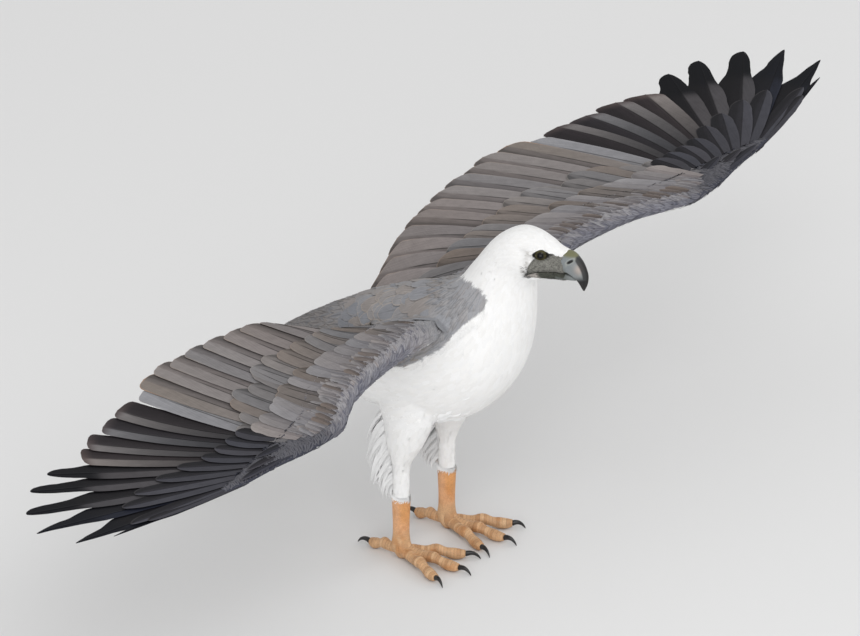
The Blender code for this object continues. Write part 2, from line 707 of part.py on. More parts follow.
def thigh_spot(up, turn, side):
    """A place on the thigh's surface, its outward and its sideways direction."""
    columns = [[(row[0], row[k]) for row in THIGH_ROWS] for k in (1, 2, 3, 4)]
    ahead, half_length, out, half_width = (curve(column, up) for column in columns)
    place = point(out + half_width * math.sin(turn), ahead + half_length * math.cos(turn), up, side)
    outward = Vector((side * math.sin(turn) / half_width, -math.cos(turn) / half_length, 0)).normalized()
    return place, outward, Vector((0, 0, 1)).cross(outward)


def thigh_locks(side):
    """The locks of the shaggy trousers on one thigh."""
    chance = random.Random(LOCK_SEED)
    locks = []
    low, high = THIGH_LOCK_TURNS
    for row, (top, length, count) in enumerate(THIGH_LOCK_ROWS):
        for k in range(count):
            turn = math.radians(low + (high - low) * (k + 0.25 + 0.5 * (row % 2)) / count)
            start, _, _ = thigh_spot(top, turn, side)
            back = max(-math.cos(turn), 0.0)
            lift = LOCK_LIFT + LOCK_BACK_LIFT * back
            reach = length * chance.uniform(0.9, 1.08)
            spots, sideways = [], []
            for share, _ in LOCK_SHAPE:
                up = top - reach * share
                place, outward, across = thigh_spot(up, turn, side)
                hang = (start - place) * (1 - THIGH_LOCK_HUG * (1 - back))
                hang.z = 0
                away = lift * share - LOCK_SINK * (1 - share)
                spots.append(place + hang + outward * away)
                sideways.append(across)
            locks.append(lock(spots, sideways, THIGH_LOCK_HALF_WIDTH))
    return locks


def make_thigh(name, side, torso, bird):
    """One feathered thigh, down to the bare shank."""
    rings = []
    for up, ahead, half_length, out, half_width in THIGH_ROWS:
        centre = point(out, ahead, up, side)
        across, length = Vector((half_width, 0, 0)), Vector((0, half_length, 0))
        rings.append(oval(centre, across, length, 12))
    thigh = as_object(name, loft(rings), bird)
    combine(thigh, thigh_locks(side), "UNION")
    combine(thigh, [swollen_copy(torso, GAP)], "DIFFERENCE")
    keep_largest(thigh)
    return dress(thigh, (0.88, 0.88, 0.87), 0.9)


def make_tarsus(name, side, bird):
    """One bare shank."""
    rings = []
    for share in (0.0, 0.15, 0.5, 0.85, 1.0):
        up = TARSUS_FOOT + GAP + (TARSUS_TOP - TARSUS_FOOT - GAP) * share
        swell = 1.0 + 0.14 * (1 - share) ** 6
        across = Vector((TARSUS_HALF_WIDTH * swell, 0, 0))
        length = Vector((0, TARSUS_HALF_LENGTH * swell, 0))
        rings.append(oval(point(LEG_OUT, 0, up, side), across, length, 12))
    return dress(as_object(name, loft(rings), bird), (0.52, 0.33, 0.16), 0.6)


def toe_frame(turn, side):
    """The level direction of a toe and the level direction across it."""
    angle = math.radians(turn) * side
    if abs(turn) < 90:
        angle += math.radians(FRONT_TOES_TURN)
    along = Vector((math.sin(angle), -math.cos(angle), 0))
    return along, Vector((0, 0, 1)).cross(along)


def toe(turn, length, side):
    """One toe, from inside the foot to the root of its claw."""
    along, across = toe_frame(turn, side)
    base = point(LEG_OUT, 0, 0, side)
    rows = (
        (0.00, 0.0110, 1.15), (0.20, 0.0112, 1.12), (0.38, 0.0114, 1.05), (0.52, 0.0115, 1.14),
        (0.66, 0.0098, 0.96), (0.80, 0.0082, 1.10), (0.92, 0.0080, 0.98), (1.00, 0.0092, 0.70),
    )
    rings = []
    for share, up, swell in rows:
        centre = base + along * (length * share) + Vector((0, 0, up))
        size = TOE_RADIUS * swell
        rings.append(oval(centre, across * size, Vector((0, 0, size)), 8))
    return as_object("toe", loft(rings), helpers())


def make_foot(word, side, bird):
    """One foot: the sole, four toes with flat pads, and four claws."""
    rows = (
        (TARSUS_FOOT, 0.0148, 0.0132), (0.0210, 0.0175, 0.0150), (0.0130, 0.0185, 0.0160), (-0.0020, 0.0130, 0.0115),
    )
    rings = []
    for up, half_length, half_width in rows:
        across, length = Vector((half_width, 0, 0)), Vector((0, half_length, 0))
        rings.append(oval(point(LEG_OUT, 0.1 * (TARSUS_FOOT - up), up, side), across, length, 12))
    foot = as_object("foot_" + word, loft(rings), bird)
    combine(foot, [toe(turn, length, side) for _, turn, length in TOES], "UNION")
    floor = bmesh.new()
    bmesh.ops.create_cube(floor, size=0.5)
    bmesh.ops.translate(floor, vec=point(LEG_OUT, 0, -0.25, side), verts=floor.verts)
    combine(foot, [as_object("floor", floor, helpers())], "DIFFERENCE")
    keep_largest(foot)
    dress(foot, (0.50, 0.33, 0.18), 0.6)
    for toe_word, turn, length in TOES:
        claw_length = CLAW_LENGTH[toe_word]
        make_claw(f"claw_{word}_{toe_word}", turn, length, claw_length, side, bird)


def make_claw(name, turn, length, claw_length, side, bird):
    """One claw, hooked down until its tip rests on the floor."""
    along, across = toe_frame(turn, side)
    root = point(LEG_OUT, 0, 0.0094, side) + along * (length + GAP)
    rings = []
    for k in range(6):
        share = k / 5
        bend = math.radians(-10 + 62 * share) * (k > 0)
        centre = root + along * (claw_length * (share - 0.16 * share**3))
        centre += Vector((0, 0, 0.0030 * math.sin(math.pi * share) - 0.0086 * share**1.8))
        size = CLAW_RADIUS * (1 - share) ** 0.7 + 0.0005
        rise = Vector((0, 0, 1)) * math.cos(bend) + along * math.sin(bend)
        rings.append(oval(centre, across * size * 0.85, rise * size, 6))
    dress(as_object(name, loft(rings), bird), (0.02, 0.02, 0.022), 0.3)


def main():
    """Builds the whole bird."""
    for obj in list(bpy.data.objects):
        bpy.data.objects.remove(obj)
    bird = bpy.data.collections.new("sea_eagle")
    bpy.context.scene.collection.children.link(bird)
    torso = make_torso(bird)
    make_neck(bird)
    make_head(bird)
    make_bill(bird)
    make_tail(torso, bird)
    for word, side in (("left", 1), ("right", -1)):
        make_wing("wing_" + word, side, torso, bird)
        make_thigh("thigh_" + word, side, torso, bird)
        make_tarsus("tarsus_" + word, side, bird)
        make_foot(word, side, bird)


if __name__ == "__main__":
    main()
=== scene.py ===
"""White-bellied sea eagle, life size, standing with both wings spread flat: the looks of every surface."""

import logging
import math
from dataclasses import dataclass, field
from enum import Enum
from itertools import product

import bmesh
import bpy
import numpy as np
from mathutils import Matrix, Vector
from mathutils.bvhtree import BVHTree

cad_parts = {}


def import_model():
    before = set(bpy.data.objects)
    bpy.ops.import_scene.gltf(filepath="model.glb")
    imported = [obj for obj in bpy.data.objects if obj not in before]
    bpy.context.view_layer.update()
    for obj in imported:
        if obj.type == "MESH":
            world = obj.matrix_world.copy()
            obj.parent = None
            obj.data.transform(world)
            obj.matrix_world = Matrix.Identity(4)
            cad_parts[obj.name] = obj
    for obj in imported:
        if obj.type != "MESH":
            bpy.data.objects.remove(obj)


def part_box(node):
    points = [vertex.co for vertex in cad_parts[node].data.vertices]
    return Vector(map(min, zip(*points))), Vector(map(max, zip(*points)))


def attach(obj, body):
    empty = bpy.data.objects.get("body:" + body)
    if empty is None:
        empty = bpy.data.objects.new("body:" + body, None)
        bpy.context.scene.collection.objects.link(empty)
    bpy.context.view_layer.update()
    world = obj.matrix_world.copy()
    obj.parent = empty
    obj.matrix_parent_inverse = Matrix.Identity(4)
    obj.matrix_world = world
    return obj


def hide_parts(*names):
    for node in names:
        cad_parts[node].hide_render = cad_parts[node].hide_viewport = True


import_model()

log = logging.getLogger("sea_eagle")

Array = np.ndarray
Pair = tuple[float, float]
Triple = tuple[float, float, float]
Table = tuple[Pair, ...]
Rows = tuple[tuple[float, ...], ...]
Colour = Triple
Shown = tuple[int, int, int]

MM = 0.001
SEED = 11
SIDES = (1, -1)
WORDS = {1: "left", -1: "right"}
UP = np.array([0.0, 0.0, 1.0])

# The size of a small feather's own patch on the bake map
BAKE_PATCH = 0.003

# The ankles lie under the middle of the shanks, and every size ahead is measured from there
ANKLE_Y = sum(corner[1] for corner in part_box("tarsus_left")) / 2

# Places in the photograph, in its own pixels, and the size of one of them on the bird
PIXEL = 1.5 * MM
ANKLE_PIXEL = (424.0, 542.3)
PHOTO_SIZE = (860, 636)


def shade(red: int, green: int, blue: int) -> Colour:
    """The linear colour of three 0 to 255 display values."""
    values = (channel / 255 for channel in (red, green, blue))
    return tuple(v / 12.92 if v <= 0.04045 else ((v + 0.055) / 1.055) ** 2.4 for v in values)


def curve(table: Table, x: Array | float) -> Array:
    """Values on a smooth curve through the rows of a table.

    Args:
        table: Rows of (x, value), with x rising.
        x: Where the values are wanted; past the ends they stay at the end values.

    Returns:
        An array of the values.
    """
    xs, ys = np.array(table, dtype=float).T
    slopes = np.empty_like(ys)
    slopes[1:-1] = (ys[2:] - ys[:-2]) / (xs[2:] - xs[:-2])
    slopes[0] = (ys[1] - ys[0]) / (xs[1] - xs[0])
    slopes[-1] = (ys[-1] - ys[-2]) / (xs[-1] - xs[-2])
    x = np.asarray(x, dtype=float)
    i = np.clip(np.searchsorted(xs, x, side="right") - 1, 0, len(xs) - 2)
    width = xs[i + 1] - xs[i]
    t = np.clip((x - xs[i]) / width, 0.0, 1.0)
    return (
        (2 * t**3 - 3 * t**2 + 1) * ys[i]
        + (t**3 - 2 * t**2 + t) * width * slopes[i]
        + (3 * t**2 - 2 * t**3) * ys[i + 1]
        + (t**3 - t**2) * width * slopes[i + 1]
    )


def smooth(low: float, high: float, x: Array | float) -> Array:
    """0 below low, 1 above high and an even change between; low may be the larger."""
    t = np.clip((np.asarray(x, dtype=float) - low) / (high - low), 0.0, 1.0)
    return t * t * (3 - 2 * t)


def unit(vectors: Array) -> Array:
    """The vectors at length one."""
    return vectors / np.maximum(np.linalg.norm(vectors, axis=-1, keepdims=True), 1e-9)


def blend(a: Array, b: Array, share: Array) -> Array:
    """Colours or places between a and b, by a share with one axis less."""
    share = np.asarray(share)[..., None]
    return np.asarray(a) * (1 - share) + np.asarray(b) * share


def world(out: Array, ahead: Array, up: Array) -> Array:
    """Places of the part's frame, from the bird's own measures."""
    return np.stack(np.broadcast_arrays(out, ANKLE_Y - np.asarray(ahead), up), axis=-1)


def part_way(start: Pair, end: Pair, share: float) -> Pair:
    """The place at a share of the way between two."""
    return start[0] + (end[0] - start[0]) * share, start[1] + (end[1] - start[1]) * share


def measures(places: Array) -> tuple[Array, Array, Array]:
    """How far places lie out to either side, ahead of the ankles and up."""
    return np.abs(places[:, 0]), ANKLE_Y - places[:, 1], places[:, 2]


def put(name: str, data: bpy.types.ID) -> bpy.types.Object:
    """A new object in the scene.

    Args:
        name: Its name.
        data: What it shows.

    Returns:
        The object.
    """
    made = bpy.data.objects.new(name, data)
    bpy.context.scene.collection.objects.link(made)
    return made


def layered(colour: Colour | Array, *layers: tuple[Colour | Array, Array]) -> Array:
    """A colour under others, each laid on with its share.

    Args:
        colour: The lowest colour.
        layers: Each colour with its share.

    Returns:
        The colours on top.
    """
    for tint, share in layers:
        colour = blend(colour, tint, share)
    return colour


class Sock:
    """A socket of a material's nodes that takes part in arithmetic."""

    def __init__(self, shader: "Shader", socket: bpy.types.NodeSocket) -> None:
        """Wraps one output socket."""
        self.shader = shader
        self.socket = socket

    def math(self, operation: str, *others: "Sock | float") -> "Sock":
        """This value and the others through one Math node."""
        return self.shader.out("ShaderNodeMath", {"operation": operation}, dict(enumerate((self, *others))))

    def __add__(self, other: "Sock | float") -> "Sock":
        """Sum."""
        return self.math("ADD", other)

    __radd__ = __add__

    def __sub__(self, other: "Sock | float") -> "Sock":
        """Difference."""
        return self.math("SUBTRACT", other)

    def __rsub__(self, other: float) -> "Sock":
        """Difference from a number."""
        return self.math("MULTIPLY", -1.0).math("ADD", other)

    def __mul__(self, other: "Sock | float") -> "Sock":
        """Product."""
        return self.math("MULTIPLY", other)

    __rmul__ = __mul__

    def __abs__(self) -> "Sock":
        """Size without its sign."""
        return self.math("ABSOLUTE")

    def step(self, low: float, high: float) -> "Sock":
        """0 at low and 1 at high, with an even change between.

        Args:
            low: Where it is 0.
            high: Where it is 1; it may be the smaller.

        Returns:
            The new value.
        """
        ends = {"Value": self, "From Min": low, "From Max": high}
        if low > high:
            ends = {"Value": self, "From Min": high, "From Max": low, "To Min": 1.0, "To Max": 0.0}
        return self.shader.out("ShaderNodeMapRange", {"interpolation_type": "SMOOTHSTEP"}, ends)


class Shader:
    """One material under construction."""

    def __init__(self, name: str) -> None:
        """Starts a material with its shader and output.

        Args:
            name: The material's name.
        """
        self.material = bpy.data.materials.new(name)
        self.material.use_nodes = True
        self.tree = self.material.node_tree
        self.tree.nodes.clear()
        self.surface = self.node("ShaderNodeBsdfPrincipled", {}, {})
        output = self.node("ShaderNodeOutputMaterial", {}, {})
        self.tree.links.new(self.surface.outputs[0], output.inputs["Surface"])

    def feed(self, target: bpy.types.NodeSocket, value: "Sock | float | Colour") -> None:
        """Links or sets one input.

        Args:
            target: The input.
            value: Its value, or the socket that it is linked to.
        """
        if isinstance(value, Sock):
            self.tree.links.new(value.socket, target)
        elif isinstance(value, tuple) and target.type == "RGBA":
            target.default_value = (*value, 1.0)
        else:
            target.default_value = value

    def node(self, kind: str, settings: dict, inputs: dict) -> bpy.types.Node:
        """Makes one node.

        Args:
            kind: The node's type.
            settings: Its own settings, set before its inputs; stops are those of its colour ramp.
            inputs: Values or links for its inputs, by name or index.

        Returns:
            The node.
        """
        node = self.tree.nodes.new(kind)
        for key, value in settings.items():
            if key == "stops":
                self.set_stops(node.color_ramp, value)
            else:
                setattr(node, key, value)
        for key, value in inputs.items():
            self.feed(node.inputs[key], value)
        return node

    @staticmethod
    def set_stops(ramp: bpy.types.ColorRamp, stops: list[tuple[float, Colour]]) -> None:
        """Gives a colour ramp its stops.

        Args:
            ramp: The ramp.
            stops: Each stop's place and colour.
        """
        while len(ramp.elements) < len(stops):
            ramp.elements.new(0.5)
        for element, (place, colour) in zip(ramp.elements, stops):
            element.position = place
            element.color = (*colour, 1.0)

    def out(self, kind: str, settings: dict, inputs: dict, output: str | int = 0) -> Sock:
        """One output of a new node."""
        return Sock(self, self.node(kind, settings, inputs).outputs[output])

    def attribute(self, name: str, output: str = "Fac") -> Sock:
        """A value or colour kept on the mesh."""
        return self.out("ShaderNodeAttribute", {"attribute_name": name}, {}, output)

    def place(self) -> Sock:
        """The place on the object."""
        return self.out("ShaderNodeTexCoord", {}, {}, "Object")

    def noise(self, vector: Sock, scale: float, detail: float = 2.0, roughness: float = 0.5) -> Sock:
        """A noise from 0 to 1."""
        inputs = {"Vector": vector, "Scale": scale, "Detail": detail, "Roughness": roughness}
        return self.out("ShaderNodeTexNoise", {}, inputs, "Fac")

    def cells(self, vector: Sock, scale: float, feature: str = "F1") -> Sock:
        """Distances in a pattern of cells."""
        inputs = {"Vector": vector, "Scale": scale}
        return self.out("ShaderNodeTexVoronoi", {"feature": feature}, inputs, "Distance")

    def mix(self, share: Sock | float, a: Sock | Colour, b: Sock | Colour, way: str = "MIX") -> Sock:
        """Two colours mixed by a share."""
        return self.out("ShaderNodeMix", {"data_type": "RGBA", "blend_type": way}, {0: share, 6: a, 7: b}, 2)

    def scaled(self, colour: Sock | Colour, factor: Sock) -> Sock:
        """A colour made lighter or darker by a factor that changes over the surface."""
        grey = self.out("ShaderNodeCombineColor", {}, {0: factor, 1: factor, 2: factor})
        return self.mix(1.0, colour, grey, "MULTIPLY")

    def finish(
        self, colour: Sock | Colour, roughness: Sock | float, height: Sock | None, depth: float,
        gloss: float = 0.5,
    ) -> None:
        """Feeds the shader.

        Args:
            colour: Its base colour.
            roughness: Its roughness.
            height: The relief from 0 to 1, if any.
            depth: How deep the relief is, in metres.
            gloss: How strongly it reflects.
        """
        self.surface.inputs["Specular IOR Level"].default_value = gloss
        self.feed(self.surface.inputs["Base Color"], colour)
        self.feed(self.surface.inputs["Roughness"], roughness)
        if height is not None:
            inputs = {"Strength": 1.0, "Distance": depth, "Height": height}
            self.feed(self.surface.inputs["Normal"], self.out("ShaderNodeBump", {}, inputs, "Normal"))


class Slot(Enum):
    """Names of material slots."""

    WHITE = "white_plumage"
    WING = "wing_plumage"
    BILL = "bill_horn"
    EYE = "eye"
    LEG = "leg_skin"
    CLAW = "claw_horn"


@dataclass(frozen=True)
class PlumageFinish:
    """Feathers: their own tints, a trimmed edge, the dark quill and the fine barbs."""

    name: str
    roughness: float
    barb_contrast: float
    streak_contrast: float
    mottle_contrast: float
    barb_depth: float

    def material(self) -> bpy.types.Material:
        """Builds the material.

        Returns:
            The material.
        """
        shader = Shader(self.name)
        vane = shader.out("ShaderNodeUVMap", {"uv_map": "vane"}, {})
        parts = shader.node("ShaderNodeSeparateXYZ", {}, {0: vane})
        across, along = abs(Sock(shader, parts.outputs[0])), Sock(shader, parts.outputs[1])
        slant = (along - across * 1.3) * 800.0
        barb_place = shader.out("ShaderNodeCombineXYZ", {}, {0: slant, 1: across * 90.0, 2: along * 25.0})
        barbs = shader.noise(barb_place, 1.0, 2.0)
        inputs = {0: across * 330.0 + along * 60.0, 1: along * 11.0}
        inputs = {0: shader.out("ShaderNodeCombineXYZ", {}, inputs), 1: shader.attribute("tint", "Vector")}
        shifted = shader.out("ShaderNodeVectorMath", {"operation": "ADD"}, inputs)
        streaks = shader.noise(shifted, 1.0, 3.0, 0.6)
        mottle = shader.noise(shader.place(), 70.0, 3.0)
        quill = shader.attribute("quill") * across.step(0.0015, 0.0006)
        hem = shader.attribute("hem") * shader.attribute("rim").step(0.003, 0.001)
        light = 1.0 + (barbs - 0.5) * self.barb_contrast + (mottle - 0.5) * self.mottle_contrast
        light = light + (streaks - 0.5) * self.streak_contrast
        colour = shader.mix(hem, shader.attribute("tint", "Color"), shader.attribute("trim", "Color"))
        colour = shader.scaled(colour, light * (1.0 - quill * 0.72))
        height = barbs * 0.8 + quill * 1.2
        shader.finish(colour, self.roughness, height, self.barb_depth, 0.12)
        return shader.material


@dataclass(frozen=True)
class SkinFinish:
    """The thin skin and down under the feathers."""

    def material(self) -> bpy.types.Material:
        """Builds the material.

        Returns:
            The material.
        """
        shader = Shader("down_skin")
        place, bare = shader.place(), shader.attribute("bare")
        grain = shader.noise(place, 420.0, 4.0, 0.65)
        folds = shader.cells(place, 260.0)
        specks = shader.noise(place, 620.0, 2.0, 0.7).step(0.52, 0.66) * bare
        cloud = shader.noise(place, 150.0, 3.0, 0.6)
        patch = shader.noise(place, 230.0, 3.0, 0.6).step(0.44, 0.62) * bare
        light = 0.62 + grain * 0.36 + cloud * 0.4 - patch * 0.3
        colour = shader.scaled(shader.attribute("tint", "Color"), light)
        colour = shader.mix(specks * 0.55, colour, shade(38, 37, 32))
        shader.finish(colour, 0.85, grain * 0.6 + folds * 0.4, 0.5 * MM, 0.2)
        return shader.material


@dataclass(frozen=True)
class BillFinish:
    """Horn of the bill, with growth lines and a slight sheen."""

    def material(self) -> bpy.types.Material:
        """Builds the material.

        Returns:
            The material.
        """
        shader = Shader("bill_horn")
        place = shader.place()
        blotch = shader.noise(place, 90.0, 4.0, 0.6)
        stretched = shader.out("ShaderNodeMapping", {}, {"Vector": place, "Scale": (60.0, 260.0, 260.0)})
        lines = shader.noise(stretched, 3.0)
        colour = shader.scaled(shader.attribute("tint", "Color"), 0.8 + blotch * 0.26 + lines * 0.14)
        shader.finish(colour, 0.36 + blotch * 0.18, lines * 0.5 + blotch * 0.5, 0.25 * MM, 0.3)
        return shader.material


@dataclass(frozen=True)
class LegFinish:
    """Scaly skin of shank and toes."""

    def material(self) -> bpy.types.Material:
        """Builds the material.

        Returns:
            The material.
        """
        shader = Shader("leg_skin")
        place = shader.place()
        scales = shader.cells(place, 420.0)
        pits = shader.cells(place, 300.0, "F2")
        cloud = shader.noise(place, 85.0, 4.0, 0.6)
        patches = shader.noise(place, 48.0, 2.0, 0.5).step(0.5, 0.68)
        colour = shader.mix(patches * 0.45, shader.attribute("tint", "Color"), shade(186, 124, 66))
        colour = shader.scaled(colour, 0.62 + cloud * 0.56 + scales * 0.22)
        shader.finish(colour, 0.58, (1.0 - scales) * 0.6 + pits * 0.4, 0.45 * MM)
        return shader.material


@dataclass(frozen=True)
class ClawFinish:
    """Black horn of the claws."""

    def material(self) -> bpy.types.Material:
        """Builds the material.

        Returns:
            The material.
        """
        shader = Shader("claw_horn")
        wear = shader.noise(shader.place(), 180.0, 3.0)
        colour = shader.mix(wear, shade(12, 11, 13), shade(34, 32, 32))
        shader.finish(colour, 0.22 + wear * 0.18, wear, 0.12 * MM)
        return shader.material


@dataclass(frozen=True)
class EyeFinish:
    """A wet eye: a dark pupil, an olive brown iris and its dark rim."""

    def material(self) -> bpy.types.Material:
        """Builds the material.

        Returns:
            The material.
        """
        shader = Shader("eye")
        stops = [
            (0.0, shade(4, 4, 5)), (0.21, shade(5, 5, 5)), (0.26, shade(30, 28, 20)),
            (0.42, shade(72, 68, 41)), (0.56, shade(56, 52, 33)), (0.64, shade(16, 15, 14)),
            (1.0, shade(10, 10, 11)),
        ]
        ramp = shader.out("ShaderNodeValToRGB", {"stops": stops}, {0: shader.attribute("ring")})
        rays = shader.noise(shader.place(), 900.0, 2.0)
        shader.finish(shader.scaled(ramp, 0.75 + rays * 0.5), 0.06, None, 0.0, 0.12)
        shader.surface.inputs["Coat Weight"].default_value = 0.15
        shader.surface.inputs["Coat Roughness"].default_value = 0.02
        return shader.material


@dataclass
class Plumes:
    """Feathers as arrays over feather, row from the root, and column across.

    Attributes:
        top: Places of the upper faces.
        depth: Vectors from the upper to the lower face at each place.
        across: Distance from the quill, in metres, towards one side negative.
        along: Distance from the root, in metres, by feather and row.
        rim: Distance from the vane's own edge, in metres.
        tint: Colour at each place.
        trim: Colour of the edge, one to a feather.
        hem: How strongly the edge shows, one to a feather.
        quill: How strongly the quill shows, by feather and row.
        bake: Place on the bake map.
        below: Colour of the lower face, where it differs.
        facing: The way that the light is taken from, where the feathers lie soft on the body.
    """

    top: Array
    depth: Array
    across: Array
    along: Array
    rim: Array
    tint: Array
    trim: Array
    hem: Array
    quill: Array
    bake: Array
    below: Array | None = None
    facing: Array | None = None

    def build(self, name: str) -> bpy.types.Mesh:
        """Makes one mesh of closed vanes.

        Args:
            name: The mesh's name.

        Returns:
            A mesh with its vane and bake maps and the attributes that the plumage reads.
        """
        count, rows, columns = whole = self.top.shape[:3]
        inner = (rows - 2) * (columns - 2)
        each = rows * columns + inner
        upper = np.arange(rows * columns).reshape(rows, columns)
        lower = upper.copy()
        lower[1:-1, 1:-1] = np.arange(rows * columns, each).reshape(rows - 2, columns - 2)

        def corners(grid: Array) -> Array:
            """Quads of one face grid."""
            quads = (grid[:-1, :-1], grid[:-1, 1:], grid[1:, 1:], grid[1:, :-1])
            return np.stack(quads, axis=-1).reshape(-1, 4)

        def repeated(one: Array) -> Array:
            """The faces or edges of one vane, for all vanes."""
            return (one[None] + (np.arange(count) * each)[:, None, None]).reshape(-1, one.shape[-1])

        def spread(values: Array, below: Array | None = None) -> Array:
            """Values at all points of the vanes, where the lower face has its own or the upper one's."""
            inside = (values if below is None else below)[:, 1:-1, 1:-1].reshape(count, inner, -1)
            values = values.reshape(count, rows * columns, -1)
            return np.concatenate([values, inside], axis=1).reshape(count * each, -1)

        vane = np.concatenate([corners(upper), corners(lower)[:, ::-1]])
        faces, points = repeated(vane), spread(self.top, self.top + self.depth)
        mesh = bpy.data.meshes.new(name)
        mesh.vertices.add(len(points))
        mesh.vertices.foreach_set("co", points.astype(np.float32).ravel())
        mesh.loops.add(faces.size)
        mesh.loops.foreach_set("vertex_index", faces.astype(np.int32).ravel())
        mesh.polygons.add(len(faces))
        mesh.polygons.foreach_set("loop_start", np.arange(0, faces.size, 4, dtype=np.int32))
        mesh.update(calc_edges=True)
        outline = np.concatenate([upper[0], upper[1:, -1], upper[-1, -2::-1], upper[-2:0:-1, 0]])
        pairs = np.sort(np.stack([outline, np.roll(outline, -1)], axis=-1), axis=-1)
        self.sharpen(mesh, repeated(pairs), len(points))
        paint(mesh, "tint", spread(np.broadcast_to(self.tint, (*whole, 3)), self.below))
        paint(mesh, "trim", spread(np.broadcast_to(self.trim[:, None, None], (*whole, 3))))
        values = {"hem": self.hem[:, None, None], "rim": self.rim, "quill": self.quill[:, :, None]}
        for key, value in values.items():
            paint(mesh, key, spread(np.broadcast_to(value, whole))[:, 0])
        along = np.broadcast_to(self.along[:, :, None], whole)
        for key, value in (("vane", np.stack([self.across, along], axis=-1)), ("OFBake", self.bake)):
            layer = mesh.uv_layers.new(name=key)
            layer.data.foreach_set("uv", spread(value)[faces.ravel()].astype(np.float32).ravel())
        mesh.uv_layers.active = mesh.uv_layers["vane"]
        if self.facing is not None:
            signs = np.tile(np.repeat((1.0, -1.0), len(vane) // 2 * 4), count)
            mesh.normals_split_custom_set(spread(self.facing)[faces.ravel()] * signs[:, None])
        return mesh

    @staticmethod
    def sharpen(mesh: bpy.types.Mesh, outline: Array, points: int) -> None:
        """Keeps the vanes' outlines crisp, so that each face is smooth up to its edge.

        Args:
            mesh: The mesh.
            outline: The two points of each edge of the outlines.
            points: How many points the mesh has.
        """
        ends = np.empty(len(mesh.edges) * 2, dtype=np.int32)
        mesh.edges.foreach_get("vertices", ends)
        ends = np.sort(ends.reshape(-1, 2), axis=-1).astype(np.int64)
        wanted = outline[:, 0].astype(np.int64) * points + outline[:, 1]
        marks = np.isin(ends[:, 0] * points + ends[:, 1], wanted)
        mesh.attributes.new("sharp_edge", "BOOLEAN", "EDGE").data.foreach_set("value", marks)


@dataclass
class Workshop:
    """Keeps the finishes and hands in the finished pieces."""

    finishes: dict[str, bpy.types.Material] = field(default_factory=dict)

    def finish(self, kind: object) -> bpy.types.Material:
        """The material of a finish, made once.

        Args:
            kind: The finish.

        Returns:
            Its material.
        """
        key = repr(kind)
        if key not in self.finishes:
            self.finishes[key] = kind.material()
        return self.finishes[key]

    def publish(self, name: str, mesh: bpy.types.Mesh, finish: object, slot: Slot, *nodes: str) -> None:
        """Hands in one piece.

        Args:
            name: The piece's name.
            mesh: Its mesh, in the part's own frame.
            finish: The finish that dresses it.
            slot: The name of a material slot; it is not used.
            nodes: The solids that it stands for.
        """
        mesh.name = name
        mesh.materials.clear()
        mesh.materials.append(self.finish(finish))
        if "sharp_edge" not in mesh.attributes:
            mesh.shade_smooth()
        piece = put(name, mesh)
        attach(piece, "root")
        if nodes:
            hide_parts(*nodes)
        log.info("%s: %d faces", name, len(mesh.polygons))


WHITE_FINISH = PlumageFinish("white_plumage", 0.8, 0.04, 0.02, 0.05, 0.08 * MM)
WING_FINISH = PlumageFinish("wing_plumage", 0.7, 0.26, 0.55, 0.34, 0.18 * MM)


def loft(rings: list[Array] | Array, closed: bool = False) -> bmesh.types.BMesh:
    """A bmesh through rings of like count, with flat caps or closed on itself.

    Args:
        rings: Points of each ring.
        closed: Whether the last ring meets the first.

    Returns:
        The shape.
    """
    shape = bmesh.new()
    rows = [[shape.verts.new(place) for place in ring] for ring in rings]
    count = len(rows[0])
    for low, high in zip(rows, rows[1:] + (rows[:1] if closed else [])):
        for i in range(count):
            j = (i + 1) % count
            shape.faces.new((low[i], low[j], high[j], high[i]))
    if not closed:
        shape.faces.new(rows[0][::-1])
        shape.faces.new(rows[-1])
    bmesh.ops.recalc_face_normals(shape, faces=shape.faces[:])
    return shape


def to_mesh(shapes: list[bmesh.types.BMesh], name: str) -> bpy.types.Mesh:
    """One mesh of several shapes, which it frees.

    Args:
        shapes: The shapes.
        name: The mesh's name.

    Returns:
        The mesh.
    """
    mesh = bpy.data.meshes.new(name)
    whole = bmesh.new()
    for shape in shapes:
        part = bpy.data.meshes.new("part")
        shape.to_mesh(part)
        shape.free()
        whole.from_mesh(part)
        bpy.data.meshes.remove(part)
    whole.to_mesh(mesh)
    whole.free()
    return mesh


def ring(centre: Array, across: Array, rise: Array, count: int, power: float = 1.0) -> Array:
    """Points round a centre from two half axes, squarer with a power under one.

    Args:
        centre: Its centre.
        across: The half axis of the sines.
        rise: The half axis of the cosines.
        count: How many points.
        power: The power of sines and cosines.

    Returns:
        The points.
    """
    turns = 2 * np.pi * np.arange(count) / count
    sines, cosines = np.sin(turns), np.cos(turns)
    sines = np.sign(sines) * np.abs(sines) ** power
    cosines = np.sign(cosines) * np.abs(cosines) ** power
    return centre + sines[:, None] * across + cosines[:, None] * rise


def evaluated(mesh: bpy.types.Mesh, *steps: tuple[str, dict]) -> bpy.types.Mesh:
    """A mesh after modifiers.

    Args:
        mesh: The mesh to start from, which is removed.
        steps: Each modifier's type and settings.

    Returns:
        The new mesh.
    """
    obj = put("work", mesh)
    for kind, settings in steps:
        modifier = obj.modifiers.new(kind.lower(), kind)
        for key, value in settings.items():
            setattr(modifier, key, value)
    made = bpy.data.meshes.new_from_object(obj.evaluated_get(bpy.context.evaluated_depsgraph_get()))
    bpy.data.objects.remove(obj)
    bpy.data.meshes.remove(mesh)
    return made


def points_of(mesh: bpy.types.Mesh) -> Array:
    """The places of a mesh's points.

    Args:
        mesh: The mesh.

    Returns:
        The places.
    """
    flat = np.empty(len(mesh.vertices) * 3)
    mesh.vertices.foreach_get("co", flat)
    return flat.reshape(-1, 3)


